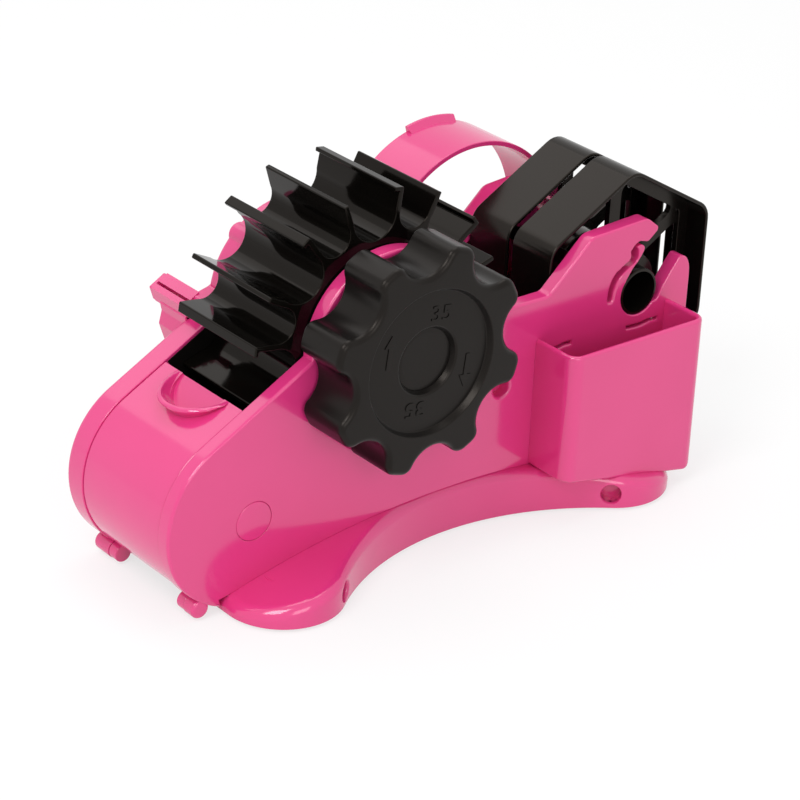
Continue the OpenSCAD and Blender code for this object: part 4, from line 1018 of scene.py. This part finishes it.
# Blade bar: a black ABS block under the blade, clamped between the shells. A thin black cheek at each
# end lines the window under the wheel, hiding the shells' hollows: painted shade for their deep shadow.
BAR_LO, BAR_HI, SHADE_CHEEK_GAP = -5.05, -0.05, 0.3
SHADE_CHEEK = ((0.8, -3.4), (-5, -3.4), (-5, -20), (6, -24), (22.8, -16), (22.8, -0.5), (0.8, -0.5))
bar = bmesh.new()
block = [from_blade(*p) for p in ((4, BAR_LO), (BLADE_D + 2, BAR_LO), (BLADE_D + 2, BAR_HI), (4, BAR_HI))]
moulding(bar, [block], -INNER + 0.05, INNER - 0.05, 0.4, 0.4)
# The two thin black cheeks are painted shade: dark sheets standing in for the shadow in the shells' hollows.
cheek = [brow + along * s + lift * up for s, up in SHADE_CHEEK]
for y in (-INNER, INNER - SHADE_CHEEK_GAP + 0.1):
    moulding(bar, [cheek], y - 0.05, y + SHADE_CHEEK_GAP - 0.1, 0.06, 0.06)
finish_piece("cutter_bar_and_shade_cheeks", bar, SATIN_BLACK, "body", ["blade_bar"])


# Stage: a flat sheet of white paper, soft lamps on the left, in front, above and behind, and the
# camera at the photograph's angle.
VIEW_TURN, VIEW_RISE, VIEW_ROLL = radians(-39.92), radians(26.33), radians(-2.68)
VIEW_FROM, FOCAL_PX, PHOTO_PX, SENSOR_MM = Vector((-0.476, -0.5987, 0.350)), 2844, 800, 36
LAMP_AIM, FLOOR_DROP, FILL_LIGHT, PAPER_GLOW = Vector((0, 0, 0.05)), 0.0002, 0.68, 0.72
WHITE = linear("#FFFFFF")
LAMPS = (("key_lamp", (-0.75, -0.25, 0.95), 5.3, 0.5), ("front_lamp", (-0.35, -1.2, 0.55), 3.2, 0.6),
         ("top_lamp", (0.25, 0.2, 1.3), 4.0, 0.8), ("rear_lamp", (-0.05, 0.75, 0.9), 0.85, 0.6))
lens = bpy.data.cameras.new("camera")
lens.lens, lens.sensor_width = FOCAL_PX * SENSOR_MM / PHOTO_PX, SENSOR_MM
camera = put("camera", lens)
camera.matrix_world = (Matrix.Translation(VIEW_FROM + WHEEL / 1000) @ Matrix.Rotation(VIEW_TURN, 4, "Z")
                       @ Matrix.Rotation(radians(90) - VIEW_RISE, 4, "X") @ Matrix.Rotation(-VIEW_ROLL, 4, "Z"))
bpy.context.scene.camera = camera


def clear_sight(tree):
    """One for rays that the eye sees straight, mirrored or through a clear piece."""
    path = add(tree, "ShaderNodeLightPath").outputs
    mirrored = add(tree, "ShaderNodeMath", {"operation": "MAXIMUM"},
                   {0: path["Is Glossy Ray"], 1: path["Is Transmission Ray"]})
    return add(tree, "ShaderNodeMath", {"operation": "MAXIMUM"}, {0: path["Is Camera Ray"], 1: mirrored})


world = bpy.data.worlds.new("studio")
bpy.context.scene.world = world
tree = blank(world)
dim = add(tree, "ShaderNodeBackground", {"Color": WHITE, "Strength": FILL_LIGHT})
white = add(tree, "ShaderNodeBackground", {"Color": WHITE, "Strength": 1.0})
both = add(tree, "ShaderNodeMixShader", (), {0: clear_sight(tree), 1: dim, 2: white})
add(tree, "ShaderNodeOutputWorld", (), {"Surface": both})

# White paper: a plain matt white that fades into the light behind it.
paper = bpy.data.materials.new("white_paper")
tree = blank(paper)
part = add(tree, "ShaderNodeMath", {"operation": "MULTIPLY", 1: PAPER_GLOW}, {0: clear_sight(tree)})
sheet = add(tree, "ShaderNodeBsdfDiffuse", {"Color": linear("#F4F4F4")})
glow = add(tree, "ShaderNodeEmission", {"Color": WHITE, "Strength": 1.0})
both = add(tree, "ShaderNodeMixShader", (), {0: part, 1: sheet, 2: glow})
add(tree, "ShaderNodeOutputMaterial", (), {"Surface": both})
floor_mesh = bpy.data.meshes.new("floor")
floor_mesh.from_pydata([(-3, -3, 0), (3, -3, 0), (3, 3, 0), (-3, 3, 0)], [], [(0, 1, 2, 3)])
floor_mesh.materials.append(paper)
floor = put("floor", floor_mesh)
floor.location.z = -FLOOR_DROP

for name, spot, watts, size in LAMPS:
    light = bpy.data.lights.new(name, "AREA")
    light.energy, light.size = watts, size
    lamp = put(name, light)
    lamp.location = spot
    lamp.rotation_euler = (LAMP_AIM - Vector(spot)).to_track_quat("-Z", "Y").to_euler()

bpy.context.scene.view_settings.view_transform = "Standard"
